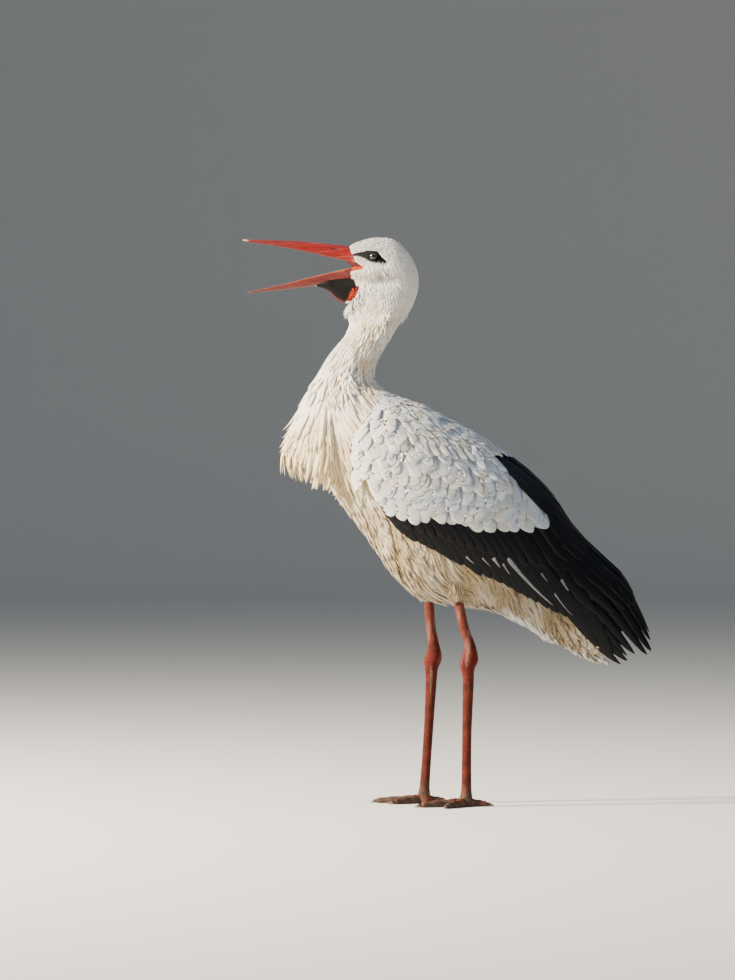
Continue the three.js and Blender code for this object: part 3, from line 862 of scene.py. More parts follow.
def bare_leg(name, leg):
    """Shank, heel, tarsus, knuckle and toes, run together into one closed skin by a voxel remesh."""
    loft = Loft(leg_rows(leg, False), middle=leg["side"] * LEG_SPREAD)
    tubes = [loft_tube(loft, np.linspace(0, loft.last, 150), 40), knuckle_tube(leg)]
    tubes += [toe_tube(leg, *size) for size in TOES.values()]
    whole = join(name, [tube(name + "_part", points) for points in tubes])
    use(whole, "REMESH", mode="VOXEL", voxel_size=LEG_VOXEL * METRE, use_smooth_shade=True)
    use(whole, "SMOOTH", factor=0.5, iterations=2)
    return whole


def mouth_cutter():
    """The wedge of open mouth as a closed prism across the face."""
    prism = [[[x, y, z] for y, z in MOUTH] for x in (-40, 40)]
    return tube("mouth_cutter", outward_tube(np.array(prism)))


def cut(skin, other, operation):
    """Unites the skin with another piece, or takes the piece away from it, and deletes the piece."""
    use(skin, "BOOLEAN", operation=operation, object=other, solver="MANIFOLD")
    bpy.data.objects.remove(other)


def make_skin():
    """One closed skin: body and head, pouch, thighs and legs united, and the mouth cut open."""
    places = np.concatenate([np.linspace(0, 6, 110), np.linspace(6, SKIN_FACE.last, 90)[1:]])
    skin = tube("stork_skin", loft_tube(SKIN_FACE, places, 96))
    others = [tube("pouch", loft_tube(Loft(THROAT), np.linspace(0, len(THROAT) - 1, 60), 64))]
    for side, leg in LEGS.items():
        thigh = Loft(leg_rows(leg, True), np.array([8, 8, 6, 1.5, 0]), middle=leg["side"] * LEG_SPREAD)
        others.append(tube("thigh_" + side, loft_tube(thigh, np.linspace(0, thigh.last, 40), 40)))
        others.append(bare_leg("leg_" + side, leg))
    for other in others:
        cut(skin, other, "UNION")
    cut(skin, mouth_cutter(), "DIFFERENCE")
    points = drawn_points(skin.data)
    scaly = step(points[:, 2], BARE_LEG_TOP, BARE_LEG_TOP - 6) * step(points[:, 2], 4, 14)
    mark(skin.data, skin_tint(points), triple(scaly, 1 - scaly, 0))
    return skin


# ---- Bill, eyes, lids and claws ----


TROUGH = 0.16  # depth of the bill's inner trough, as a share of its half's height


def bill_half(name, rows, lower):
    """Half of the bill. Outside, half width * sin(a)^0.9 and the rise * cos(a)^1.15 run from the ridge to
    the cutting edge; inside, a shallow trough closes the ring. The lower half is the same upside down."""
    places = np.linspace(0, len(rows) - 1, 150)
    row = through(rows, places)
    outer = np.linspace(0, 1, 26)[:-1]
    inner = np.linspace(0, 1, 9)[:-1]
    across = np.concatenate([np.sin(outer * np.pi / 2) ** 0.9, 1 - inner])
    level = np.concatenate([np.cos(outer * np.pi / 2) ** 1.15, TROUGH * (1 - (1 - inner) ** 2)])
    across = np.concatenate([across, [0], -across[:0:-1]])[None, :]
    level = np.concatenate([level, [TROUGH], level[:0:-1]])[None, :]
    ridge, edge = (row[:, 2:4], row[:, 0:2]) if lower else (row[:, 0:2], row[:, 2:4])
    y = edge[:, :1] + (ridge[:, :1] - edge[:, :1]) * level
    z = edge[:, 1:] + (ridge[:, 1:] - edge[:, 1:]) * level
    x = row[:, 4:5] * across
    points = np.stack([x + 0 * y, y, z], -1)
    outside = np.abs(across) > 0.3
    if lower:
        # A groove runs along the side, halfway up the jaw's rami.
        groove = np.exp(-((level - 0.42) / 0.12) ** 2) * step(y, -235, -200) * 0.9
        points[..., 0] -= np.sign(x) * groove * outside
    else:
        (y0, z0), (y1, z1) = NOSTRIL
        share = np.clip((y - y0) / (y1 - y0), 0, 1)
        off = z - (z0 + (z1 - z0) * share)
        ends = step(y, y0 - 1, y0 + 4) * step(y, y1 + 1, y1 - 9)
        slit = np.exp(-((off / 1.05) ** 2)) * ends * 2.6
        lip = np.exp(-(((np.abs(off) - 2.2) / 1.0) ** 2)) * ends * 0.35
        points[..., 0] += np.sign(x) * (lip - slit) * (level > 0.15)
    run = step(y, -170, -320)
    red = blend(linear("#780f0b"), linear("#6c231c"), run)
    red = blend(red, linear("#571a14"), 0.5 * np.exp(-(((y + 290) / 26) ** 2)))
    red = blend(red, linear("#cdb79d"), step(y, -317, -327) * 0.9)
    if lower:
        red = blend(red, linear("#5e0906"), 0.75 * step(y, -290, -200))
        # Painted highlight: a paler orange band along the lower bill's upper cutting edge, where light
        # catches it.
        red = blend(red, linear("#d8754a"), 0.6 * step(level, 0.1, 0.0) * outside)
    else:
        # Painted shade: a dark line along the nostril slit, where the groove would be in shade.
        red = blend(red, linear("#30110d"), 0.85 * np.exp(-((off / 0.8) ** 2)) * ends * outside)
    k = np.arange(level.size)[None, :]
    inside = (np.abs(across) < 0.95) & (level <= TROUGH) & (k > 24) & (k < level.size - 24)
    red = np.where(inside[..., None], linear("#7c1f17"), red)
    points, red = outward_pair(points, red)
    return finish(tube(name, points, tint=red, lie=np.zeros_like(points)), BILL_HORN, "bill_horn", name)


def ball(centre, radius, side):
    """An eyeball whose pole looks sideways: rings round the x axis, at the cosine and sine of t."""
    t = np.linspace(0.02, np.pi - 0.02, 48)[:, None]
    turn = turns(64)
    bulge = 1 + 0.07 * np.exp(-((t / 0.55) ** 2))  # the cornea
    x = centre[0] + radius * np.cos(t) * bulge
    y = centre[1] + radius * np.sin(t) * np.cos(turn)
    z = centre[2] + radius * np.sin(t) * np.sin(turn)
    points = np.stack([side * (x + 0 * turn), y, z], -1)
    off = radius * np.sin(t) + 0 * turn
    colour = blend(linear("#050405"), linear("#2e2320"), step(off, 2.5, 2.9))
    colour = blend(colour, linear("#120d0e"), step(off, 4.6, 5.6))
    colour = np.where((t < np.pi / 2)[..., None], colour, linear("#0c0909"))
    return outward_pair(points, colour)


def make_eyes():
    """Both eyeballs, each centred in its socket."""
    for name, side in SIDES.items():
        points, colour = ball(EYE, EYE_RADIUS, side)
        finish(tube("eye_" + name, points, tint=colour), WET_EYE, "eye", "eye_" + name)


# A lid's cross profile: times the opening's size, height over the skin, height over the eyeball; the
# share of the eyeball's height.
LID_PROFILE = np.array([
    [1.75, -1.2, 0, 0],
    [1.6, 0.3, 0, 0],
    [1.38, 0.9, 0.6, 0.35],
    [1.2, 1.2, 1.2, 0.7],
    [1.08, 0, 1.15, 1],
    [1.0, 0, 0.75, 1],
    [0.97, 0, 0.1, 1],
    [0.98, 0, -0.9, 1],
    [1.3, -2.4, -1.6, 0.6],
    [1.7, -2.6, 0, 0],
])
LID_OPENING = (7.6, 5.7)  # half length and half height


LID_TILT = -0.32  # turn of the opening's long axis from level, in radians


def make_lids(surface):
    """Bare lids: a ring round each eye that rises from the face to the eyeball's edge. The opening is
    an ellipse drawn out to a corner in front and behind."""
    turn = np.linspace(0, FULL_TURN, 72, endpoint=False)[:, None]
    size, over_skin, over_ball, share = LID_PROFILE.T[:, None, :]
    corner = 1 + 0.16 * np.abs(np.cos(turn)) ** 8
    along = LID_OPENING[0] * np.cos(turn) * corner * size
    up = LID_OPENING[1] * np.sin(turn) * size
    y = EYE[1] + along * np.cos(LID_TILT) - up * np.sin(LID_TILT)
    z = EYE[2] + along * np.sin(LID_TILT) + up * np.cos(LID_TILT)
    off2 = np.minimum((y - EYE[1]) ** 2 + (z - EYE[2]) ** 2, (EYE_RADIUS * 0.97) ** 2)
    on_ball = EYE[0] + np.sqrt(EYE_RADIUS**2 - off2) + over_ball
    on_skin = side_depth(surface, y, z) + over_skin
    folds = 0.16 * np.sin(size * 34 + 2 * np.sin(turn)) * (size > 1.1) * (size < 1.6)
    x = on_skin + (on_ball - on_skin) * share + folds
    for name, side in SIDES.items():
        points = outward_tube(np.stack([side * x, y, z], -1))
        flat = points.reshape(-1, 3)
        colour = np.broadcast_to(linear("#1c191e"), flat.shape)
        lie = np.broadcast_to([0.0, 1.0, 0.0], flat.shape)
        piece = build("eyelids_" + name, flat, wrapped_faces(*points.shape[:2]), colour, lie)
        finish(piece, SKIN, "throat_skin")


def wrapped_faces(rings, sides):
    """Faces of a ring-shaped tube, closed both ways."""
    r, a = np.meshgrid(np.arange(rings), np.arange(sides), indexing="ij")
    up, on = (r + 1) % rings, (a + 1) % sides
    return [np.stack([r * sides + a, r * sides + on, up * sides + on, up * sides + a], -1).reshape(-1, 4)]


def side_depth(surface, y, z):
    """How far out the head's side is at a side-view point, from the nearest of a fine grid of points."""
    place, angle = np.meshgrid(np.linspace(0.2, 5, 240), np.linspace(0.05, np.pi - 0.05, 160), indexing="ij")
    grid = surface.point(place, angle).reshape(-1, 3)
    ask = np.stack([y.ravel(), z.ravel()], -1)
    near = ((ask[:, None, :] - grid[None, :, 1:]) ** 2).sum(-1).argpartition(4, axis=1)[:, :4]
    return grid[near, 0].mean(-1).reshape(y.shape)


def claw_tube(leg, turn, length, half):
    """A blunt claw: a loft that bends down to its tip."""
    start = length - 2.5
    rows = [
        [-start, 7.0, -start, 1.0, half * 0.52],
        [-start - CLAW_LENGTH * 0.35, 6.6, -start - CLAW_LENGTH * 0.3, 0.9, half * 0.46],
        [-start - CLAW_LENGTH * 0.75, 5.0, -start - CLAW_LENGTH * 0.7, 0.7, half * 0.32],
        [-start - CLAW_LENGTH - 1.6, 1.8, -start - CLAW_LENGTH - 1.0, 0.4, half * 0.12],
    ]
    return on_floor(loft_tube(Loft(rows), np.linspace(0, 3, 16), 16), leg, turn)


def make_claws():
    """All eight claws as one piece, dark at the root and pale at the tip."""
    tubes = [claw_tube(leg, *size) for leg in LEGS.values() for size in TOES.values()]
    points = np.array(tubes)
    count, rings, sides = points.shape[:3]
    share = np.linspace(0, 1, rings)[None, :, None]
    colour = blend(linear("#2b2321"), linear("#a58f7d"), step(share, 0.35, 1.0) + 0 * points[..., 0])
    flat = points.reshape(-1, 3)
    piece = build("claws", flat, ring_faces(count, rings, sides), colour.reshape(-1, 3), np.zeros_like(flat))
    nodes = [f"claw_{toe}_{side}" for side in LEGS for toe in TOES]
    finish(piece, CLAW_HORN, "claw_horn", *nodes)


# ---- Feathers ----

# A feather's ring of points: share of the half width across, and 1 for the underside.
LOCK_RING = np.array([[-1, 0], [0, 0], [1, 0]])
VANE_RING = np.array([[-1, 0], [-0.55, 0], [0, 0], [0.55, 0], [1, 0], [0.55, 1], [0, 1], [-0.55, 1]])
# Outlines of feathers: share of the length, and share of the greatest half width there.
LOCK = np.array([[0, 0.5], [0.25, 0.95], [0.55, 1], [0.8, 0.62], [1, 0.06]])
PLUME = np.array([[0, 0.4], [0.15, 0.8], [0.35, 1], [0.6, 0.95], [0.78, 0.68], [0.9, 0.38], [1, 0.05]])
LONG_VANE = np.array([
    [0, 0.6], [0.15, 0.85], [0.35, 1], [0.55, 1], [0.72, 0.94], [0.84, 0.8], [0.92, 0.58],
    [0.97, 0.34], [1, 0.08],
])
SOFT_VANE = np.array([
    [0, 0.5], [0.25, 0.9], [0.5, 1], [0.68, 0.96], [0.81, 0.84], [0.9, 0.66], [0.96, 0.42], [1, 0.12],
])
POINTED_VANE = np.array([
    [0, 0.6], [0.15, 0.85], [0.35, 1], [0.55, 0.97], [0.72, 0.84], [0.84, 0.62], [0.92, 0.4],
    [0.97, 0.2], [1, 0.05],
])
PATCH = 0.003  # a feather's size on the skin's unwrap
THICKNESS = 0.16  # of a vane, in millimetres


def unwrap(surface, place, angle):
    """A root's place on the unwrap of the surface: share of its length, and share of a full turn."""
    return np.stack([0.02 + 0.96 * place / surface.last, 0.02 + 0.96 * (angle / FULL_TURN % 1)], -1)


def lie_of(outline, ring, length, half, seeds):
    """Across and along each feather in millimetres, and its share by chance, at every point."""
    across = ring[None, None, :, 0] * (half[:, None] * outline[None, :, 1])[..., None]
    along = (length[:, None] * outline[None, :, 0])[..., None] + 0 * across
    return np.stack([across, along, seeds[:, None, None] + 0 * across], -1)


def patch_of(roots, outline, ring):
    """Each feather's own patch, PATCH across, round its root on the unwrap."""
    u = roots[:, None, None, 0] + PATCH * 0.5 * ring[None, None, :, 0] + 0 * outline[None, :, 0, None]
    v = roots[:, None, None, 1] + PATCH * (outline[None, :, 0, None] - 0.5 + 0.02 * ring[None, None, :, 1])
    return np.stack([u, v + 0 * u], -1)


def spread(count, *values):
    """Each value as an array of one number for each feather."""
    return [np.broadcast_to(np.asarray(value, float), (count,)) for value in values]


def headings(surface, place, angle):
    """Unit vectors ahead and sideways in the surface, and its steps per unit of place and of angle."""
    _, normal, along, around = surface.frame(place, angle)
    ahead = unit(along - dot(along, normal) * normal)
    sideways = np.cross(normal, ahead)
    return ahead, sideways * np.where(dot(sideways, around) < 0, -1, 1), along, around


def rates(way, along, around):
    """How fast place and angle grow along a way in the surface: the least-squares answer."""
    aa, ab, bb = dot(along, along), dot(along, around), dot(around, around)
    wa, wb = dot(way, along), dot(way, around)
    scale = np.maximum(aa * bb - ab * ab, 1e-3)
    return (wa * bb - wb * ab) / scale, (wb * aa - wa * ab) / scale


def ragged_edges(rng, ragged, count, outline, ring):
    """Factors of the width, by chance on each side of each feather at each step of its outline."""
    edge = 1 + ragged * rng.normal(size=(count, len(outline), 2))
    return np.where(ring[None, None, :, 0] < 0, edge[..., :1], edge[..., 1:])


def as_feathers(points, lie, patch, turn, side):
    """Feathers as a dictionary. With turn, their rings run the other way. Side -1 mirrors them."""
    made = dict(points=points * [-1, 1, 1] if side < 0 else points, lie=lie, patch=patch)
    turn = turn != (side < 0)
    return {key: value[:, :, ::-1] for key, value in made.items()} if turn else made


def lay(surface, place, angle, heading, length, half, rise, outline, seed, curl=0.0, cup=0.14, side=1,
        droop=0.0, thick=0.22, sway=0.0, end=None, ragged=0.0, hug=False):
    """Feathers laid on a loft from their roots. Each goes straight on over the surface on its heading, which
    is measured from the rows' way towards a growing angle. rise is its height over the surface at root,
    middle and tip; curl lifts the tip by curl * length * t^3, droop drops it by droop * length * t^2, and
    sway bends it sideways by sway * length * t^2. Across, it is cupped by cup * half width * share^2. With
    end, a place and an angle, it runs evenly from root to end, and heading and length aren't used.
    ragged is how unevenly its edges end, and with hug it follows the surface across too."""
    count = len(place)
    ring = LOCK_RING if outline is LOCK or outline is PLUME else VANE_RING
    rng = np.random.default_rng(seed)
    if end is not None:
        length = np.linalg.norm(surface.point(*end) - surface.point(place, angle), axis=-1)
    heading, length, half, curl, droop, sway = spread(count, heading, length, half, curl, droop, sway)
    ahead, sideways, along, around = headings(surface, place, angle)
    way = ahead * np.cos(heading)[:, None] + sideways * np.sin(heading)[:, None]
    go_place, go_angle = (rate[:, 0] for rate in rates(way, along, around))
    if end is not None:
        go_place, go_angle = (end[0] - place) / length, (end[1] - angle) / length
    t = outline[None, :, 0]
    run = t * length[:, None]
    at_place, at_angle = place[:, None] + go_place[:, None] * run, angle[:, None] + go_angle[:, None] * run
    middle, out, along, around = surface.frame(at_place, at_angle)
    rise = np.asarray(rise, float)
    rise = np.broadcast_to(rise, (count, 3))[:, None, :]
    height = rise[..., 0] + (rise[..., 1] - rise[..., 0]) * np.minimum(t * 2, 1) ** 0.7
    height = height + (rise[..., 2] - rise[..., 1]) * np.maximum(t * 2 - 1, 0) + curl[:, None] * run * t**2
    forward = unit(np.gradient(middle, axis=1))
    out = unit(out - dot(out, forward) * forward)
    right = np.cross(forward, out)
    middle = middle + out * height[..., None] + right * (sway[:, None] * run * t)[..., None]
    middle[..., 2] -= droop[:, None] * run * t
    wide = half[:, None] * outline[None, :, 1]
    share, under = ring[None, None, :, 0, None], ring[None, None, :, 1, None]
    edge = ragged_edges(rng, ragged, count, outline, ring)[..., None]
    points = middle[:, :, None, :] + right[:, :, None, :] * wide[:, :, None, None] * share * edge
    if hug:
        off = wide[:, :, None] * (share * edge)[..., 0]
        off = off + (sway[:, None] * run * t)[:, :, None]
        go_place, go_angle = rates(right, along, around)
        points = surface.point(at_place[..., None] + go_place * off, at_angle[..., None] + go_angle * off)
        points = points + (out * height[..., None])[:, :, None, :]
    lift = -cup * wide[:, :, None, None] * share**2 - under * THICKNESS
    deep = thick * wide[:, :, None, None] if len(ring) == 3 else thick  # the ridge along the shaft
    lift = lift + deep * (share == 0) * (under == 0)
    points = points + out[:, :, None, :] * lift
    lie = lie_of(outline, ring, length, half, rng.random(count))
    return as_feathers(points, lie, patch_of(unwrap(surface, place, angle), outline, ring), False, side)


def toward(surface, place, angle, way):
    """The heading, at each place and angle, of a line that runs a given way in space."""
    ahead, sideways, _, _ = headings(surface, place, angle)
    return np.arctan2(dot(way, sideways), dot(way, ahead))[:, 0]


def side_vanes(surface, root, tip, half, height, bow, outline, seed, side=1, cup=0.1, twist=0.0,
        ridge=0.3, ragged=0.0):
    """Feathers draped over a loft's side between roots and tips given in the side view. The shaft bows
    by bow * length * 4 t (1 - t) to the right of its way. height is over the surface at root and tip."""
    count = len(root)
    rng = np.random.default_rng(seed)
    half, bow, twist = spread(count, half, bow, twist)
    height = np.broadcast_to(np.asarray(height, float), (count, 2))
    t = outline[None, :, 0, None]
    span = (tip - root)[:, None, :]
    length = np.linalg.norm(tip - root, axis=1)
    turned = np.stack([span[..., 1], -span[..., 0]], -1)
    shaft = root[:, None, :] + span * t + turned * (bow[:, None, None] * 4 * t * (1 - t))
    forward = unit(np.gradient(shaft, axis=1))
    right = np.stack([-forward[..., 1], forward[..., 0]], -1)
    wide = half[:, None] * outline[None, :, 1]
    ring = VANE_RING
    share, under = ring[None, None, :, 0], ring[None, None, :, 1]
    edge = ragged_edges(rng, ragged, count, outline, ring)
    flat = shaft[:, :, None, :] + right[:, :, None, :] * (wide[:, :, None] * share * edge)[..., None]
    up = height[:, None, :1] + (height[:, None, 1:] - height[:, None, :1]) * t
    up = up - cup * wide[:, :, None] * share**2 - under * THICKNESS + ridge * (share == 0) * (under == 0)
    up = up + twist[:, None, None] * share * t
    points = surface.drape(flat[..., 0], flat[..., 1], up)
    lie = lie_of(outline, ring, length, half, rng.random(count))
    place, angle = surface.side(root[:, 0], root[:, 1])
    patch = patch_of(unwrap(surface, place, angle), outline, ring)
    spans = np.cross(points[:, 1:, 4] - points[:, :-1, 4], points[:, 1:, 0] - points[:, 1:, 4])
    inward = np.median(spans[..., 0]) < 0  # the left side's upper faces must look left
    return as_feathers(points, lie, patch, inward, side)


def dye(feathers, colour):
    """Gives feathers their colour: one for every point, or a function of their points and lie."""
    points = feathers["points"]
    tint = colour(points, feathers["lie"]) if callable(colour) else colour
    feathers["tint"] = np.broadcast_to(tint, points.shape)
    return feathers


def coat_piece(name, batches, colour, material=WHITE_VANES, slot="white_plumage"):
    """One piece from batches of feathers, whose rings may differ. Colour is for those not dyed yet."""
    faces, start = {}, 0
    for batch in batches:
        if "tint" not in batch:
            dye(batch, colour)
        count, rings, sides = batch["points"].shape[:3]
        for block in ring_faces(count, rings, sides):
            faces.setdefault(block.shape[1], []).append(block + start)
        start += count * rings * sides
    points, tint, lie, patch = (
        np.concatenate([batch[key].reshape(-1, batch[key].shape[-1]) for batch in batches])
        for key in ("points", "tint", "lie", "patch")
    )
    piece = build(name, points, [np.concatenate(f) for f in faces.values()], tint, lie, patch)
    return finish(piece, material, slot)


def white(points, lie):
    """The coat's markings, a little different from feather to feather, and darker at the roots as painted
    shade between the feathers.
    """
    # Painted shade: each feather is up to a fifth darker over its first 5 mm, by its root.
    each = (0.9 + 0.1 * lie[..., 2:3]) * (0.8 + 0.2 * step(lie[..., 1:2], 0, 5))
    return np.clip(coat_tint(points) * each, 0, 1)


def wing_white_and_painted_shade(points, lie):
    """The wing's cleaner white: each feather a little different and greyer towards its root, as painted shade
    between the feathers; up to 30 per cent darker and bluer towards the wing's rear and lower edge, as
    painted shade; and in patches 40 mm apart between a warmer, beige white and a cooler, bluer white of
    painted sky shade."""
    # Painted shade: each feather is up to 18 per cent greyer towards its root.
    each = (0.87 + 0.13 * lie[..., 2:3]) * (0.82 + 0.18 * step(lie[..., 1:2], 4, 44))
    # Painted shade: the white is up to 30 per cent darker and bluer towards the wing's rear and lower edge.
    shade = step(points[..., 1:2] - 0.4 * (points[..., 2:3] - 500), -90, 10)
    each = each * (1 - shade * [0.3, 0.24, 0.17])
    # The warm patches are a beige tone; the cool, bluer patches are painted sky shade.
    cool = np.clip(0.5 + 1.2 * ripple(points * [0, 1, 1], 40, 131) + 0.3 * (lie[..., 2] - 0.5), 0, 1)
    return blend(WHITE * [0.94, 0.9, 0.82], WHITE * [0.8, 0.86, 0.93], cool) * each


COAT = HeadedLoft(BODY, 1.0)

LID_BARE = 8.6  # how far round the eye there are only bare lids
FACE_END = 2.4  # the row of BODY where the face's coat gives way to the head's


def head_coat():
    """Short velvety tufts, shortest by the bill and round the eye, lying back over the head."""
    place, angle, at = scatter(COAT, (0.0, 6.3), (0, FULL_TURN), ([0, 1, 3, 6.3], [1.05, 1.2, 1.6, 2.2]), 11)
    x, y, z = at.T
    rng = np.random.default_rng(12)
    bare = (np.hypot(y - EYE[1] - 1.5, (z - EYE[2]) * 1.15) < LID_BARE) & (np.abs(x) > 9)
    bare |= in_eye_stripe(y, z, 0.4) & (y > -112)
    bare |= in_outline(GAPE_SKIN, y, z, 0.4) | in_outline(MOUTH, y, z, 1.5) | in_outline(POUCH, y, z, 0.3)
    thinning = 0.3 + 0.45 * step(y, -131, -152) + 0.45 * ripple(at, 4, 2)
    bare |= in_outline(POUCH_REAR, y, z, 0.0) & (rng.random(len(y)) < thinning)
    bare |= y < -160.5
    place, angle, at = chosen(~bare, place, angle, at)
    y, z = at[:, 1], at[:, 2]
    count = len(place)
    near_eye = np.hypot(y - EYE[1], z - EYE[2])
    length = np.interp(place, [0, 1, 2, 4, 6.3], [4.0, 5.6, 7.5, 11.5, 17]) * rng.uniform(0.7, 1.3, count)
    length = np.minimum(length, np.interp(near_eye, [8, 22], [3.4, 30]))
    length = np.where(in_eye_stripe(y, z, 1), np.minimum(length, 3.0), length)
    length = np.where(in_outline(POUCH_REAR, y, z, 2.0), np.minimum(length, 4.5), length)
    half = np.minimum(length * np.interp(place, [0, 6.3], [0.13, 0.095]), 1.5)
    fold = np.exp(-(((y + 116) / 34) ** 2) - ((z - 848) / 9) ** 2)
    lift = 0.3 + 0.45 * rng.random(count) + 0.35 * ripple(at, 9, 21) + 1.4 * fold
    rise = triple(-0.8, 0.1 + 0.25 * lift, 0.1 + lift)
    heading = 0.2 * ripple(at, 16, 22) + rng.normal(0, 0.16, count)
    sway = rng.normal(0, 0.08, count)
    tufts = lay(COAT, place, angle, heading, length, half, rise, LOCK, 13, thick=0.2, sway=sway)
    dye(tufts, white)
    face = place < FACE_END
    # A few feathers stand out on the nape.
    place, angle = rng.uniform(6.2, 6.7, 26), rng.normal(0.1, 0.22, 26)
    rise = triple(-1.5, 1.5, rng.uniform(3, 6.5, 26))
    heading, length = rng.normal(0, 0.2, 26), rng.uniform(13, 19, 26)
    nape = lay(COAT, place, angle, heading, length, 1.6, rise, LOCK, 14)
    front, rear = ({key: value[some] for key, value in tufts.items()} for some in (face, ~face))
    coat_piece("coat_face", [front], white)
    coat_piece("coat_head", [rear, nape], white)


def chin_coat():
    """Bristly white feathers that hang behind the pouch."""
    rng = np.random.default_rng(31)
    count = 340
    place = rng.uniform(1.9, 3.7, count)
    angle = np.pi + rng.normal(0, 0.5, count)
    length = rng.uniform(9, 18, count)
    rise = triple(-1.0, 1.2, rng.uniform(1.0, 6.0, count))
    heading = rng.normal(0, 0.25, count)
    batch = lay(COAT, place, angle, heading, length, 0.9, rise, LOCK, 32, droop=0.15)
    coat_piece("coat_chin", [batch], white)


def neck_coat():
    """Slim locks down the neck, in strands that part and close."""
    for name, low, high, seed in (("upper", 5.6, 8.6, 41), ("lower", 8.6, 12.2, 44)):
        spacing = ([5.6, 8, 12.2], [2.15, 2.8, 5.0])
        place, angle, at = scatter(COAT, (low, high), (0, FULL_TURN), spacing, seed)
        rng = np.random.default_rng(seed + 1)
        count = len(place)
        length = np.interp(place, [5.6, 8, 10, 12.2], [17, 24, 31, 40]) * rng.uniform(0.7, 1.3, count)
        half = length * np.interp(place, [5.6, 12.2], [0.075, 0.1])
        parting = ripple(at * [1, 1, 0.3], 15, 43)
        sides = np.sin(angle) ** 2
        front = step(-np.cos(angle), 0.2, 0.9) * step(place, 8, 9.5)
        lift = 0.5 + (0.5 + 1.2 * sides) * rng.random(count) + (0.5 + 1.3 * sides) * parting - 2.2 * front
        rise = triple(-4, lift * 0.5 - 0.5, lift)
        heading = 0.28 * ripple(at * [1, 1, 0.5], 24, 42) + rng.normal(0, 0.1, count)
        batch = lay(COAT, place, angle, heading, length, half, rise, LOCK, seed + 2, thick=0.16)
        coat_piece("coat_neck_" + name, [batch], white)


def plume_tint(points, lie):
    """White plumes, warmer to cream towards their free tips and down the breast, and darker at their roots
    as painted shade between the plumes.
    """
    z = points[..., 2]
    free = np.clip(lie[..., 1] / 70, 0, 1)
    edge = np.clip(np.abs(lie[..., 0]) / 6, 0, 1)
    share = np.clip(0.12 + 0.75 * free * step(z, 690, 560) + 0.4 * (lie[..., 2] - 0.4) - 0.25 * edge, 0, 0.95)
    rear = step(points[..., 1], -215, -165) * step(z, 620, 560)
    colour = blend(blend(WHITE, CREAM, share), TAN, 0.55 * rear * (0.4 + 0.6 * lie[..., 2]))
    # Painted shade: each plume is up to 38 per cent darker towards its root, where the plumes overlap.
    return colour * (0.88 + 0.12 * lie[..., 2:3]) * (0.62 + 0.38 * step(lie[..., 1:2], 0, 34))


# Layers of plumes, from under to over: how many, the rows their tips lie between, and their height.
PLUME_LAYERS = (
    (170, 6.1, 7.2, -3.0), (150, 5.2, 7.1, -1.0), (140, 3.8, 6.4, 0.6), (160, 2.0, 4.6, 1.0),
    (250, 0.2, 2.6, 0.8),
)
PLUME_CLUMP = 0.21  # how far round the bell one clump of plumes reaches, in radians
# Where plumes hang over the breast's sides, in the side view.
PLUME_SIDE = np.array([[-182, 668], [-118, 668], [-122, 600], [-140, 574], [-184, 574]])


def plume_coat():
    """Lance-shaped plumes that hang in a bell from the lower neck, their tips parting at its hem."""
    bell = Loft(PLUMES, np.array([9, 8.5, 7, 5, 4, 3, 2.5, 2]))
    grid = np.linspace(-2, 7.6, 200)
    line = bell.point(grid, np.full(200, 0.8))
    run = np.append(0, np.cumsum(np.linalg.norm(np.diff(line, axis=0), axis=1)))
    rng = np.random.default_rng(51)
    batches = []
    for count, tip_low, tip_high, deep in PLUME_LAYERS:
        around, along = even_shares(count)
        angle = (around * 2 - 1) * 2.5
        tip = tip_low + (tip_high - tip_low) * along + rng.normal(0, 0.14, count)
        length = np.interp(tip, [0.4, 3, 6.35], [32, 68, 112]) * rng.uniform(0.8, 1.15, count)
        place = np.interp(np.interp(tip, grid, run) - length, run, grid)
        half = np.interp(length, [30, 100], [3.6, 7.6]) * rng.uniform(0.75, 1.25, count)
        at = bell.point(place, angle)
        front = np.exp(-((angle / 0.9) ** 2)) * step(tip, 1.5, 4)
        lift = rng.uniform(0.0, 3.6, count) + 2.4 * ripple(at, 26, 53)
        rise = triple(-5, deep + 0.4 * lift, deep + lift)
        clump = np.round(angle / PLUME_CLUMP)
        tip = tip - 0.8 * (np.sin(clump * 12.9898) * 437.5 % 1) * step(tip, 4, 6)
        end_angle = angle + 0.45 * (clump * PLUME_CLUMP - angle) + 0.07 * ripple(at, 30, 54)
        end_angle = end_angle + rng.normal(0, 0.025, count)
        curl = 0.15 * front * rng.random(count) ** 3
        batch = lay(
            bell, place, angle, 0.0, length, half, rise, PLUME, 55,
            sway=rng.normal(0, 0.05, count), cup=0.3, thick=0.26, curl=curl, end=(tip, end_angle),
        )
        batches.append(batch)
    # More of them hang over the breast's sides, as far as the wings' front edges.
    place, angle, at = scatter(COAT, (9.5, 13.5), (0.3, np.pi), ([9, 14], [5.6, 6.4]), 56)
    on = in_outline(PLUME_SIDE, at[:, 1], at[:, 2])
    place, angle, at = chosen(on, place, angle, at)
    count = len(place)
    length = rng.uniform(62, 98, count)
    half = length * rng.uniform(0.06, 0.09, count)
    lift = rng.uniform(1.0, 5.0, count) + 2.0 * ripple(at, 20, 57)
    rise = triple(-4, 1 + 0.3 * lift, 2 + lift)
    way = unit(triple(0, rng.normal(0.12, 0.08, count), -1))
    heading = toward(COAT, place, angle, way)
    for side in SIDES.values():
        batch = lay(
            COAT, place, angle, heading, length, half, rise, PLUME, 58 + side,
            sway=rng.normal(0, 0.05, count), cup=0.3, thick=0.26, side=side,
        )
        batches.append(batch)
    coat_piece("breast_plumes", batches, plume_tint, slot="cream_plumage")


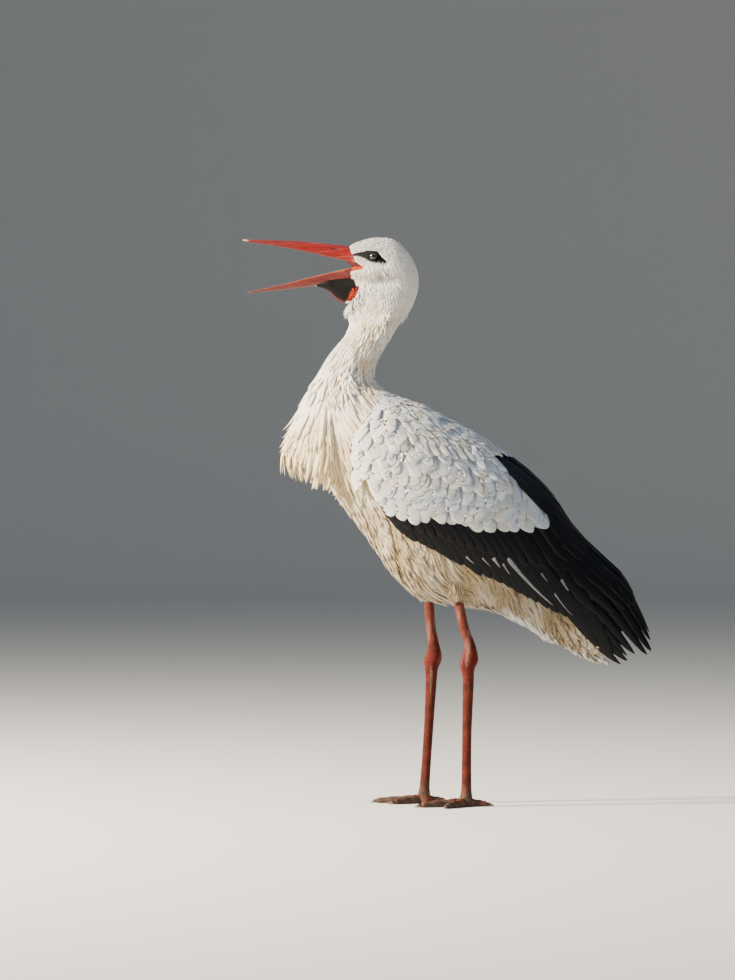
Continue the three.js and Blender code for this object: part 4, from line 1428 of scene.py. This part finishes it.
def fall(y):
    """The way loose body feathers lie at each y: down, and a little back, most at the front and the rear."""
    back = np.interp(y, [-180, -90, -20, 60, 130, 230], [0.5, 0.5, 0.15, 0.14, 0.45, 0.62])
    return unit(triple(0, back, -1))


# The trunk's pieces: name, first and last row, and seed.
TRUNK_PARTS = (("breast", 11.6, 15.2, 61), ("belly", 15.2, 18.2, 64), ("vent", 18.2, 20.9, 67))


def trunk_coat():
    """Drop-shaped feathers on the breast's sides, and long ropes of them over belly and flanks, tan
    underneath. They hang by their own weight, in a fringe round the thighs and along the vent."""
    wing_y, wing_z = BLACK_HEM.T
    for name, low, high, seed in TRUNK_PARTS:
        spacing = ([11, 14, 21], [7.6, 7.8, 6.0])
        place, angle, at = scatter(COAT, (low, high), (0.5, FULL_TURN - 0.5), spacing, seed)
        y, z = at[:, 1], at[:, 2]
        hidden = (z > np.interp(y, wing_y, wing_z) + 32) & (y > -70) | (z > 640) & (y > -60)
        place, angle, at = chosen(~hidden, place, angle, at)
        rng = np.random.default_rng(seed + 1)
        count = len(place)
        length = np.interp(place, [11.6, 14, 16, 18, 21], [44, 60, 56, 50, 48])
        length = length * rng.uniform(0.75, 1.2, count)
        half = length * np.interp(place, [11.6, 15, 17, 21], [0.14, 0.125, 0.1, 0.11])
        half = half * rng.uniform(0.75, 1.25, count)
        rope = ripple(at * [1, 0.45, 0.45], 17, 66)
        under = step(-np.cos(angle), 0.3, 0.95)
        lift = 1.0 + 1.8 * rng.random(count) + 2.4 * rope - 2.5 * under * step(place, 17, 19)
        rise = triple(-5, 0.5 * lift - 1, lift)
        heading = toward(COAT, place, angle, fall(y[~hidden])) + 0.2 * ripple(at, 40, 68)
        heading = heading + rng.normal(0, 0.07, count)
        batch = lay(
            COAT, place, angle, heading, length, half, rise, PLUME if low < 15 else LOCK, seed + 2,
            sway=rng.normal(0, 0.06, count), cup=0.25, droop=0.12 * under,
        )
        coat_piece("coat_" + name, [batch], white)


def thigh_coat():
    """Soft feathers down each thigh that end in a ragged fringe over the bare leg."""
    batches = []
    for leg in LEGS.values():
        loft = Loft(leg_rows(leg, True), 1.0, middle=leg["side"] * LEG_SPREAD)
        seed = 71 + leg["side"]
        place, angle, at = scatter(loft, (0.2, 2.66), (0, FULL_TURN), ([0, 3.3], [4.0, 2.3]), seed)
        rng = np.random.default_rng(seed + 5)
        count = len(place)
        length = np.interp(place, [0, 2, 2.4, 2.66], [44, 34, 24, 17]) * rng.uniform(0.55, 1.25, count)
        half = length * rng.uniform(0.05, 0.08, count)
        lift = 0.8 + 2.4 * rng.random(count) + ripple(at, 10, 73)
        rise = triple(-3, 0.4 * lift, lift + np.interp(place, [1.5, 3], [0.6, 3.4]))
        heading = rng.normal(0, 0.16, count)
        batches.append(lay(loft, place, angle, heading, length, half, rise, LOCK, seed))
    coat_piece("coat_thighs", batches, white)


def tail_coat():
    """Broad soft coverts that hang under the tail to a ragged fringe, over two fans of tail feathers."""
    loft = Loft(TAIL, 4.0)
    place, angle, at = scatter(loft, (-0.9, 3.05), (0.4, FULL_TURN - 0.4), ([0, 4], [8.0, 7.6]), 81)
    on = at[:, 2] < np.interp(at[:, 1], *BLACK_HEM.T) + 16
    place, angle, at = chosen(on, place, angle, at)
    rng = np.random.default_rng(82)
    count = len(place)
    length = rng.uniform(36, 58, count) * np.interp(place, [-0.6, 3.1], [1.0, 0.74])
    half = length * rng.uniform(0.12, 0.19, count)
    under = step(-np.cos(angle), 0.4, 0.95)
    lift = 0.4 + 2.0 * rng.random(count) + 1.4 * ripple(at, 18, 83)
    rise = triple(-4, 0.4 * lift - 1, lift + 2.5 * under * rng.random(count))
    heading = toward(loft, place, angle, fall(at[:, 1])) + 0.16 * ripple(at, 36, 84)
    heading = heading + rng.normal(0, 0.1, count)
    batch = lay(
        loft, place, angle, heading, length, half, rise, SOFT_VANE, 85,
        sway=rng.normal(0, 0.05, count), cup=0.3, thick=0.2, droop=0.08 * under, ragged=0.03,
    )
    coat_piece("coat_tail", [batch], white)
    place, angle, length = np.linspace(0.3, 0.9, 6), np.linspace(0.35, 2.4, 6), np.linspace(150, 128, 6)
    fan = [
        lay(loft, place, angle, -0.05, length, 15.0, [[-3, -1, 0.5]], LONG_VANE, 86, side=side)
        for side in SIDES.values()
    ]
    coat_piece("tail_feathers", fan, white)


# ---- Folded wings ----

WING_FACE = Loft(WINGS, 3.0)


class RuffledLoft(Loft):
    """The wings' and back's face with its loose feathers puffed up, in smooth swellings 36 mm apart
    and faint ones 15 mm apart. They depend on the side view only, so both sides match."""

    def puff(self, y, z):
        at = np.stack([y, z, 0 * y], -1)
        return 0.9 + 1.3 * ripple(at, 36, 121) + 0.1 * ripple(at, 15, 122)

    def point(self, place, angle):
        points = super().point(place, angle)
        across = super().point(place, angle + np.pi)
        return points + unit(points - across) * self.puff(points[..., 1], points[..., 2])[..., None]

    def drape(self, y, z, height):
        return super().drape(y, z, height + self.puff(y, z))


SOFT_FACE = RuffledLoft(WINGS, 3.0)
COVERT_TOP = np.array([[-150, 640], [-112, 634], [-76, 604], [-20, 582], [30, 566], [66, 558]])
WING_OUTLINE = np.concatenate([
    COVERT_FRONT, BLACK_HEM[1:], [[262, 250], [286, 292], [316, 300], [330, 330], [300, 460], [150, 640]],
    [[-60, 760], [-150, 760], [-150, 660]],
])
WHITE_WING = np.concatenate([
    COVERT_FRONT, COVERT_HEM[2:] + [0, 12], [[160, 466], [132, 500], [98, 532], [66, 558]],
    [[100, 557], [100, 640], [-60, 760], [-150, 760], [-150, 660]],
])


def wing_pad():
    """The closed saddle under the wing feathers: a patch of the wings' loft from edge to edge over the
    back, 4 mm thick. Its edge in each section is the first angle that leaves the wing's outline."""
    outer, inner = Loft(WINGS, 9.0), Loft(WINGS, 12.5)
    places = np.linspace(0.05, 11.3, 110)
    angles = np.linspace(0.02, 3.0, 240)
    seen = outer.point(places[:, None], angles[None, :])
    out = ~in_outline(WING_OUTLINE, seen[..., 1], seen[..., 2], -3)
    edge = angles[np.where(out.any(1), out.argmax(1), len(angles) - 1)]
    edge = np.convolve(np.pad(edge, 3, "edge"), np.ones(7) / 7, "valid")
    share = np.sin(np.linspace(-np.pi / 2, np.pi / 2, 90))
    over = outer.point(places[:, None], edge[:, None] * share)
    under = inner.point(places[:, None], edge[:, None] * share[::-1])
    points = np.concatenate([over, under], 1)
    rings, sides = points.shape[:2]
    quads = ring_faces(1, rings, sides)[0]
    j = np.arange(sides // 2 - 1)
    cap = np.stack([j, j + 1, sides - 2 - j, sides - 1 - j], -1)
    faces = [np.concatenate([quads, cap[:, ::-1], cap + (rings - 1) * sides])]
    flat = points.reshape(-1, 3)
    pale = in_outline(WHITE_WING, flat[:, 1], flat[:, 2])
    tint = np.where(pale[:, None], WHITE * 0.9, BLACK)
    lie = np.stack([flat[:, 0], -flat[:, 2], 0 * flat[:, 0]], -1)
    place = np.repeat(places, sides)
    patch = unwrap(outer, place, np.tile(np.concatenate([edge[0] * share, edge[0] * share[::-1]]), rings))
    piece = build("wing_down", flat, faces, tint, lie, patch)
    return finish(piece, BLACK_VANES, "black_plumage")


# The black wedge of scapulars that parts the mantle's points from the coverts.
WEDGE = np.array([
    [60, 564], [83, 556], [100, 554], [126, 566], [190, 480], [163, 467], [154, 482], [135, 502],
    [115, 519], [93, 537], [74, 555],
])


def clear_of(feathers, outline):
    """The feathers none of whose points lie well inside an outline of the side view."""
    points = feathers["points"]
    inside = in_outline(outline, points[..., 1], points[..., 2], -2.5)
    keep = ~inside.reshape(len(points), -1).any(1)
    return {key: value[keep] for key, value in feathers.items()}


def mantle_coat():
    """Soft, narrow back feathers, from the base of the neck to the white points over the black scapulars."""
    place, angle, at = scatter(SOFT_FACE, (-0.5, 4.3), (-1.75, 1.75), ([-0.5, 4.3], [6.4, 8.4]), 91)
    y, z = at[:, 1], at[:, 2]
    on = (z > np.interp(y, *MANTLE_EDGE.T) - 4) & (y < 72)
    place, angle, at = chosen(on, place, angle, at)
    rng = np.random.default_rng(92)
    count = len(place)
    length = np.interp(place, [0, 4.3], [34, 48]) * rng.uniform(0.8, 1.2, count)
    half = np.interp(place, [0, 4.3], [4.2, 6.6]) * rng.uniform(0.8, 1.2, count)
    lift = rng.uniform(0.0, 0.3, count) + 0.4 * ripple(at, 20, 93)
    rise = triple(-1.8, 0.1 + lift, 1.3 + lift)
    heading = 0.1 * np.sign(angle) + 0.2 * ripple(at, 34, 94) + rng.normal(0, 0.08, count)
    batch = lay(
        SOFT_FACE, place, angle, heading, length, half, rise, SOFT_VANE, 95,
        cup=0.05, thick=0.1, ragged=0.08, hug=True,
    )
    coat_piece("coat_mantle", [clear_of(batch, WEDGE)], wing_white_and_painted_shade)


# The two lowest covert rows: share of the way to the top, feathers, length, half width.
COVERT_ROWS = [(0.00, 14, 72, 15.0), (0.17, 14, 66, 15.0)]


def covert_coat():
    """White coverts: two rows of rounded feathers along the scalloped hem, and above them a mass of
    broad, soft ones that hug the wing at slightly different headings."""
    left, right = [], []
    for side, batches in ((1, left), (-1, right)):
        for k, (share, count, length, half) in enumerate(COVERT_ROWS):
            rng = np.random.default_rng(100 + k + 50 * (side < 0))
            u = (np.arange(count) + 0.35 + 0.5 * (k % 2)) / (count + 0.3)
            u = np.clip(u + rng.normal(0, 0.12 / count, count), 0, 1)
            hem, top = on_line(COVERT_HEM, u), on_line(COVERT_TOP, u)
            tip = hem + (top - hem) * share
            turn = rng.normal(0, 0.05, count)[:, None]
            way = unit(hem - top)
            way = way * np.cos(turn) + np.stack([-way[:, 1], way[:, 0]], -1) * np.sin(turn)
            long = length * rng.uniform(0.9, 1.1, count)
            tip = tip + way * rng.normal(0, 1.6, count)[:, None]
            root = tip - way * long[:, None]
            level = 0.3 * (np.arange(count) % 2) + 0.2 * rng.random(count)
            height = np.stack([np.full(count, -0.9), 0.1 + level + 0.3 * k], -1)
            batch = side_vanes(
                SOFT_FACE, root, tip, half * rng.uniform(0.85, 1.12, count), height,
                rng.normal(0, 0.02, count), SOFT_VANE, 130 + k, side=side, cup=0.05,
                twist=rng.normal(0, 0.2, count), ridge=0.1, ragged=0.04,
            )
            batches.append(clear_of(batch, WEDGE))
        rng = np.random.default_rng(110 + side)
        place, angle, at = scatter(SOFT_FACE, (0.05, 6.9), (0.35, 2.2), ([0, 2.4, 7], [9.6, 12.6, 13.6]), 111)
        y, z = at[:, 1], at[:, 2]
        hem_z, top_z = line_at(COVERT_HEM, y)[0], line_at(COVERT_TOP, y)[0]
        share = (z - hem_z) / (top_z - hem_z)
        front, rear = np.interp(z, [480, 560, 640], [-100, -138, -150]), 140 - 0.9 * (z - 480)
        on = (share > 0.5) & (share < 1.3) & (y < rear) & (y > front)
        place, angle, at, share = chosen(on, place, angle, at, share)
        count = len(place)
        way = unit(triple(0, np.interp(at[:, 1], [-140, -60, 160], [0.12, 0.3, 0.5]), -1))
        turn = 0.16 * ripple(at * [0, 1, 1], 44, 120) + rng.normal(0, 0.05, count)
        length = np.interp(share, [0.5, 1.2], [68, 54]) * rng.uniform(0.9, 1.1, count)
        half = np.interp(share, [0.5, 1.2], [16.5, 13.5]) * np.interp(place, [0, 2.4], [0.8, 1])
        half = half * rng.uniform(0.9, 1.1, count)
        lift = rng.uniform(0.0, 0.1, count)
        rise = triple(-2.4, -0.5 + lift, 0.9 + lift)
        batch = lay(
            SOFT_FACE, place, angle, toward(SOFT_FACE, place, angle, way) + turn, length, half, rise,
            SOFT_VANE, 112, cup=0.01, thick=0.03, ragged=0.07, side=side, hug=True,
        )
        batches.append(clear_of(batch, WEDGE))
    # Loose feathers on the upper left wing, one of which has dropped.
    root = np.array([[38, 573], [-40, 582], [-28, 579], [-14, 580], [-2, 575], [12, 574], [24, 571]], float)
    tip = np.array([[57, 535], [-33, 558], [-16, 556], [0, 556], [14, 551], [28, 551], [42, 549]], float)
    height = [[1.5, 4.5]] + [[0.5, 3.2]] * 6
    left.append(side_vanes(SOFT_FACE, root, tip, [6.5] + [5] * 6, height, 0.04, SOFT_VANE, 140))
    coat_piece("wing_coverts_left", left, wing_white_and_painted_shade)
    coat_piece("wing_coverts_right", right, wing_white_and_painted_shade)


SILVER = linear("#7c7f84")
STREAK_VANE = np.array([[0, 0.3], [0.03, 0.9], [0.1, 1], [0.3, 0.7], [0.6, 0.5], [0.85, 0.4], [1, 0.1]])


def black(points, lie):
    """Black, a little different from feather to feather, and worn browner along the outer edge."""
    worn = step(lie[..., 0:1], 8, 13) * (0.4 + 0.6 * lie[..., 2:3])
    return BLACK * (0.7 + 0.6 * lie[..., 2:3]) * (1 - worn) + linear("#0d0d11") * worn


# Silvery edges of some secondaries that show, from start to end in the side view, and half widths.
STREAKS = np.array([
    [93, 395, 166, 320, 3.6], [71, 396, 82, 381, 3.0], [85, 388, 97, 370, 1.8], [28, 399, 40, 388, 1.8],
    [52, 396, 66, 384, 1.3], [147, 372, 157, 359, 1.5], [180, 361, 191, 343, 2.4],
    [168, 340, 197, 305, 1.3],
])


# Black feathers laid from root to tip by place and angle on the wings' face, and their half widths and
# heights: the scapulars under the mantle, the shorter tertials, the long tertials and the primaries.
SCAPULARS = np.array([
    [4.1, 0.5, 7.05, 0.7], [4.2, 0.42, 7.3, 0.55], [4.3, 0.32, 7.35, 0.38], [4.2, 0.2, 7.15, 0.2],
    [4.0, 0.08, 6.8, 0.04],
])
SHORT_TERTIALS = np.array([
    [4.7, 0.62, 8.2, 1.06], [4.7, 0.52, 8.6, 0.86], [4.8, 0.42, 8.85, 0.64], [4.8, 0.3, 8.8, 0.42],
    [4.8, 0.16, 8.6, 0.2],
    [4.6, 0.04, 8.2, 0.02],
])
LONG_TERTIALS = np.array([
    [5.2, 0.9, 9.7, 1.5], [5.3, 0.8, 10.15, 1.28], [5.5, 0.7, 10.5, 1.05], [5.7, 0.6, 10.75, 0.82],
    [5.8, 0.5, 10.9, 0.58],
    [5.9, 0.36, 10.85, 0.34], [6.0, 0.18, 10.6, 0.12],
])
PRIMARIES = np.array([
    [7.6, 1.5, 11.2, 2.16], [7.5, 1.4, 11.36, 2.0], [7.6, 1.28, 11.28, 1.84], [7.7, 1.2, 11.55, 1.66],
    [7.9, 1.05, 12.2, 1.36],
    [8.0, 0.85, 12.45, 1.1], [8.2, 0.65, 12.1, 0.72], [8.4, 0.4, 11.9, 0.38],
])


def flight_coat():
    """Black wing feathers. Secondaries end along the lower hem, tertials lie over them along the back,
    and the primaries' tips show past both."""
    for name, side in SIDES.items():
        rng = np.random.default_rng(150 + side)
        secondaries, tertials, primaries = [], [], []

        def row(root, tip, half, low, high, bow, seed, outline=LONG_VANE, **more):
            """Secondaries whose tips' heights go evenly from low to high along the row."""
            height = np.linspace(low, high, len(root))[:, None] - [1.5, 0]
            batch = side_vanes(WING_FACE, root, tip, half, height, bow, outline, seed, side=side, **more)
            secondaries.append(batch)
            return batch

        def fan(batches, ends, half, low, high, seed, outline=LONG_VANE):
            """Feathers laid between places and angles, whose heights go evenly from low to high."""
            heights = np.linspace(low, high, len(ends))
            rise = triple(heights - 4.5, heights - 0.4, heights)
            ends = ends + rng.normal(0, 0.03, ends.shape)
            batches.append(lay(
                WING_FACE, ends[:, 0], ends[:, 1], 0.0, 1.0, half, rise, outline, seed,
                side=side, cup=0.12, end=(ends[:, 2], ends[:, 3]), thick=0.35,
            ))

        fan(primaries, PRIMARIES, 8.5, -4.0, -2.0, 160, POINTED_VANE)
        # Secondaries, from the front of the hem to its rear.
        share = np.linspace(0.04, 1.0, 25)
        angle = np.radians(np.interp(share, [0, 0.4, 1], [50, 52, 60]))
        long = np.interp(share, [0, 0.2, 0.5, 1], [46, 92, 140, 185])
        tip = on_line(BLACK_HEM, share) + rng.normal(0, 1.0, (25, 2))
        root = tip + long[:, None] * np.stack([-np.cos(angle), np.sin(angle)], -1)
        half = np.interp(share, [0, 0.3, 1], [9, 12.5, 13])
        row(root, tip, half, -4.0, -1.8, -0.03, 170, cup=0.08)
        # Black greater coverts, just under the white hem.
        share = np.linspace(0.05, 0.98, 17)
        angle = np.radians(np.interp(share, [0, 0.4, 1], [54, 54, 58]))
        hem, low_hem = on_line(COVERT_HEM[1:], share), on_line(BLACK_HEM, 0.02 + 0.84 * share)
        tip = hem + (low_hem - hem) * np.interp(share, [0, 1], [0.55, 0.42])[:, None]
        tip = tip + rng.normal(0, 1.2, (17, 2))
        long = np.interp(share, [0, 0.3, 1], [40, 80, 110])
        root = tip + long[:, None] * np.stack([-np.cos(angle), np.sin(angle)], -1)
        half = np.interp(share, [0, 0.3, 1], [8, 11.5, 12])
        row(root, tip, half, -2.6, -1.4, -0.02, 180, cup=0.1)
        edges = STREAKS + rng.normal(0, 0.5, STREAKS.shape) * [1, 1, 1, 1, 0.1]
        start, end, half = edges[:, :2], edges[:, 2:4], edges[:, 4]
        dye(row(start, end, half, -0.2, 0.2, 0.03, 185, STREAK_VANE, cup=0.0, ridge=0.1), SILVER)
        fan(tertials, LONG_TERTIALS, 14.0, -1.6, 0.2, 190)
        fan(tertials, SHORT_TERTIALS, 13.0, -0.4, 1.2, 200)
        fan(tertials, SCAPULARS, 11.5, 1.4, 2.6, 210)
        tracts = {"primaries": primaries, "secondaries": secondaries, "tertials": tertials}
        for tract, batches in tracts.items():
            coat_piece(f"wing_{tract}_{name}", batches, black, BLACK_VANES, "black_plumage")


def make_bird():
    """Every piece, from the skin outwards."""
    flesh = [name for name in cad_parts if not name.startswith(("bill", "eye", "claw"))]
    finish(make_skin(), SKIN, "white_plumage", *flesh)
    bill_half("bill_upper", BILL_UPPER, False)
    bill_half("bill_lower", BILL_LOWER, True)
    make_eyes()
    make_lids(SKIN_FACE)
    make_claws()
    head_coat()
    chin_coat()
    neck_coat()
    plume_coat()
    trunk_coat()
    thigh_coat()
    tail_coat()
    wing_pad()
    mantle_coat()
    covert_coat()
    flight_coat()


# ---- Floor, light and camera ----

PIXEL = 1.6  # millimetres of the bird's middle plane that one pixel of the view's height shows
VIEW_SIZE = (735, 980)
VIEW_MIDDLE = (-129.0, 504.0)  # y and z at the middle of the view
CAMERA_DISTANCE = 8.0
SENSOR = 36.0


def make_stage():
    """A round studio floor that curves up into a low wall far behind every camera: its profile of
    radius and height is a line, a quarter circle and a line, turned about the z axis."""
    t = np.linspace(0, 1, 20) * np.pi / 2
    profile = np.concatenate([
        [[0.001, 0], [2, 0], [6, 0]], np.stack([16 + 8 * np.sin(t), 8 - 8 * np.cos(t)], -1), [[24, 14]],
    ])
    turn = turns(96)
    radius, height = profile[:, :1], profile[:, 1:]
    points = np.stack([radius * np.cos(turn), radius * np.sin(turn), height + 0 * turn], -1)
    faces = ring_faces(1, len(profile), 96)[0][:, ::-1]
    mesh = bpy.data.meshes.new("studio_floor")
    mesh.from_pydata(points.reshape(-1, 3).tolist(), [], faces.tolist())
    mark(mesh)
    paper = bpy.data.materials.new("pale_studio_paper")
    paper.use_nodes = True
    paper.node_tree.nodes.clear()
    mesh.materials.append(end_material(paper, {"Base Color": (*linear("#dcdddb"), 1), "Roughness": 0.9}))
    floor = show("studio_floor", mesh)


def softbox(name, place, aim, size, watts, colour):
    """A rectangular lamp at a place in metres, which faces its aim."""
    lamp = bpy.data.lights.new(name, "AREA")
    lamp.shape = "RECTANGLE"
    lamp.size, lamp.size_y = size
    lamp.energy = watts
    lamp.color = linear(colour)
    holder = show(name, lamp)
    place, aim = np.array(place, float), np.array(aim, float)
    back = unit(place - aim)
    right = unit(np.cross([0, 0, 1], back))
    matrix = np.eye(4)
    matrix[:3, 0], matrix[:3, 1], matrix[:3, 2], matrix[:3, 3] = right, np.cross(back, right), back, place
    holder.matrix_world = Matrix(matrix.tolist())


def make_lights():
    """A warm softbox from the bird's front, and cool light from above and from the camera's side."""
    softbox("sun_side_softbox", (1.15, -4.0, 2.6), (0, -0.05, 0.6), (0.7, 0.7), 1250, "#fff0d8")
    softbox("sky_softbox", (0.6, 1.6, 4.2), (0, 0, 0.5), (3.5, 3.5), 60, "#bfd4ff")
    softbox("camera_fill", (6.0, 1.5, 1.6), (0, 0, 0.5), (3.0, 3.0), 30, "#c6dbff")
    world = bpy.data.worlds.new("studio")
    world.use_nodes = True
    background = world.node_tree.nodes["Background"].inputs
    background[0].default_value = (*linear("#d3e0f0"), 1)
    background[1].default_value = 0.26
    bpy.context.scene.world = world


def make_camera():
    """Level, square to the bird's left side."""
    lens = bpy.data.cameras.new("camera")
    lens.sensor_width = SENSOR
    lens.lens = SENSOR * CAMERA_DISTANCE / (VIEW_SIZE[1] * PIXEL * METRE)
    lens.clip_end = 100
    camera = show("camera", lens)
    y, z = (VIEW_MIDDLE[0] + SHIFT_Y) * METRE, VIEW_MIDDLE[1] * METRE
    camera.location = (CAMERA_DISTANCE, y, z)
    camera.rotation_euler = (np.pi / 2, 0, np.pi / 2)
    bpy.context.scene.camera = camera


make_bird()
make_stage()
make_lights()
make_camera()
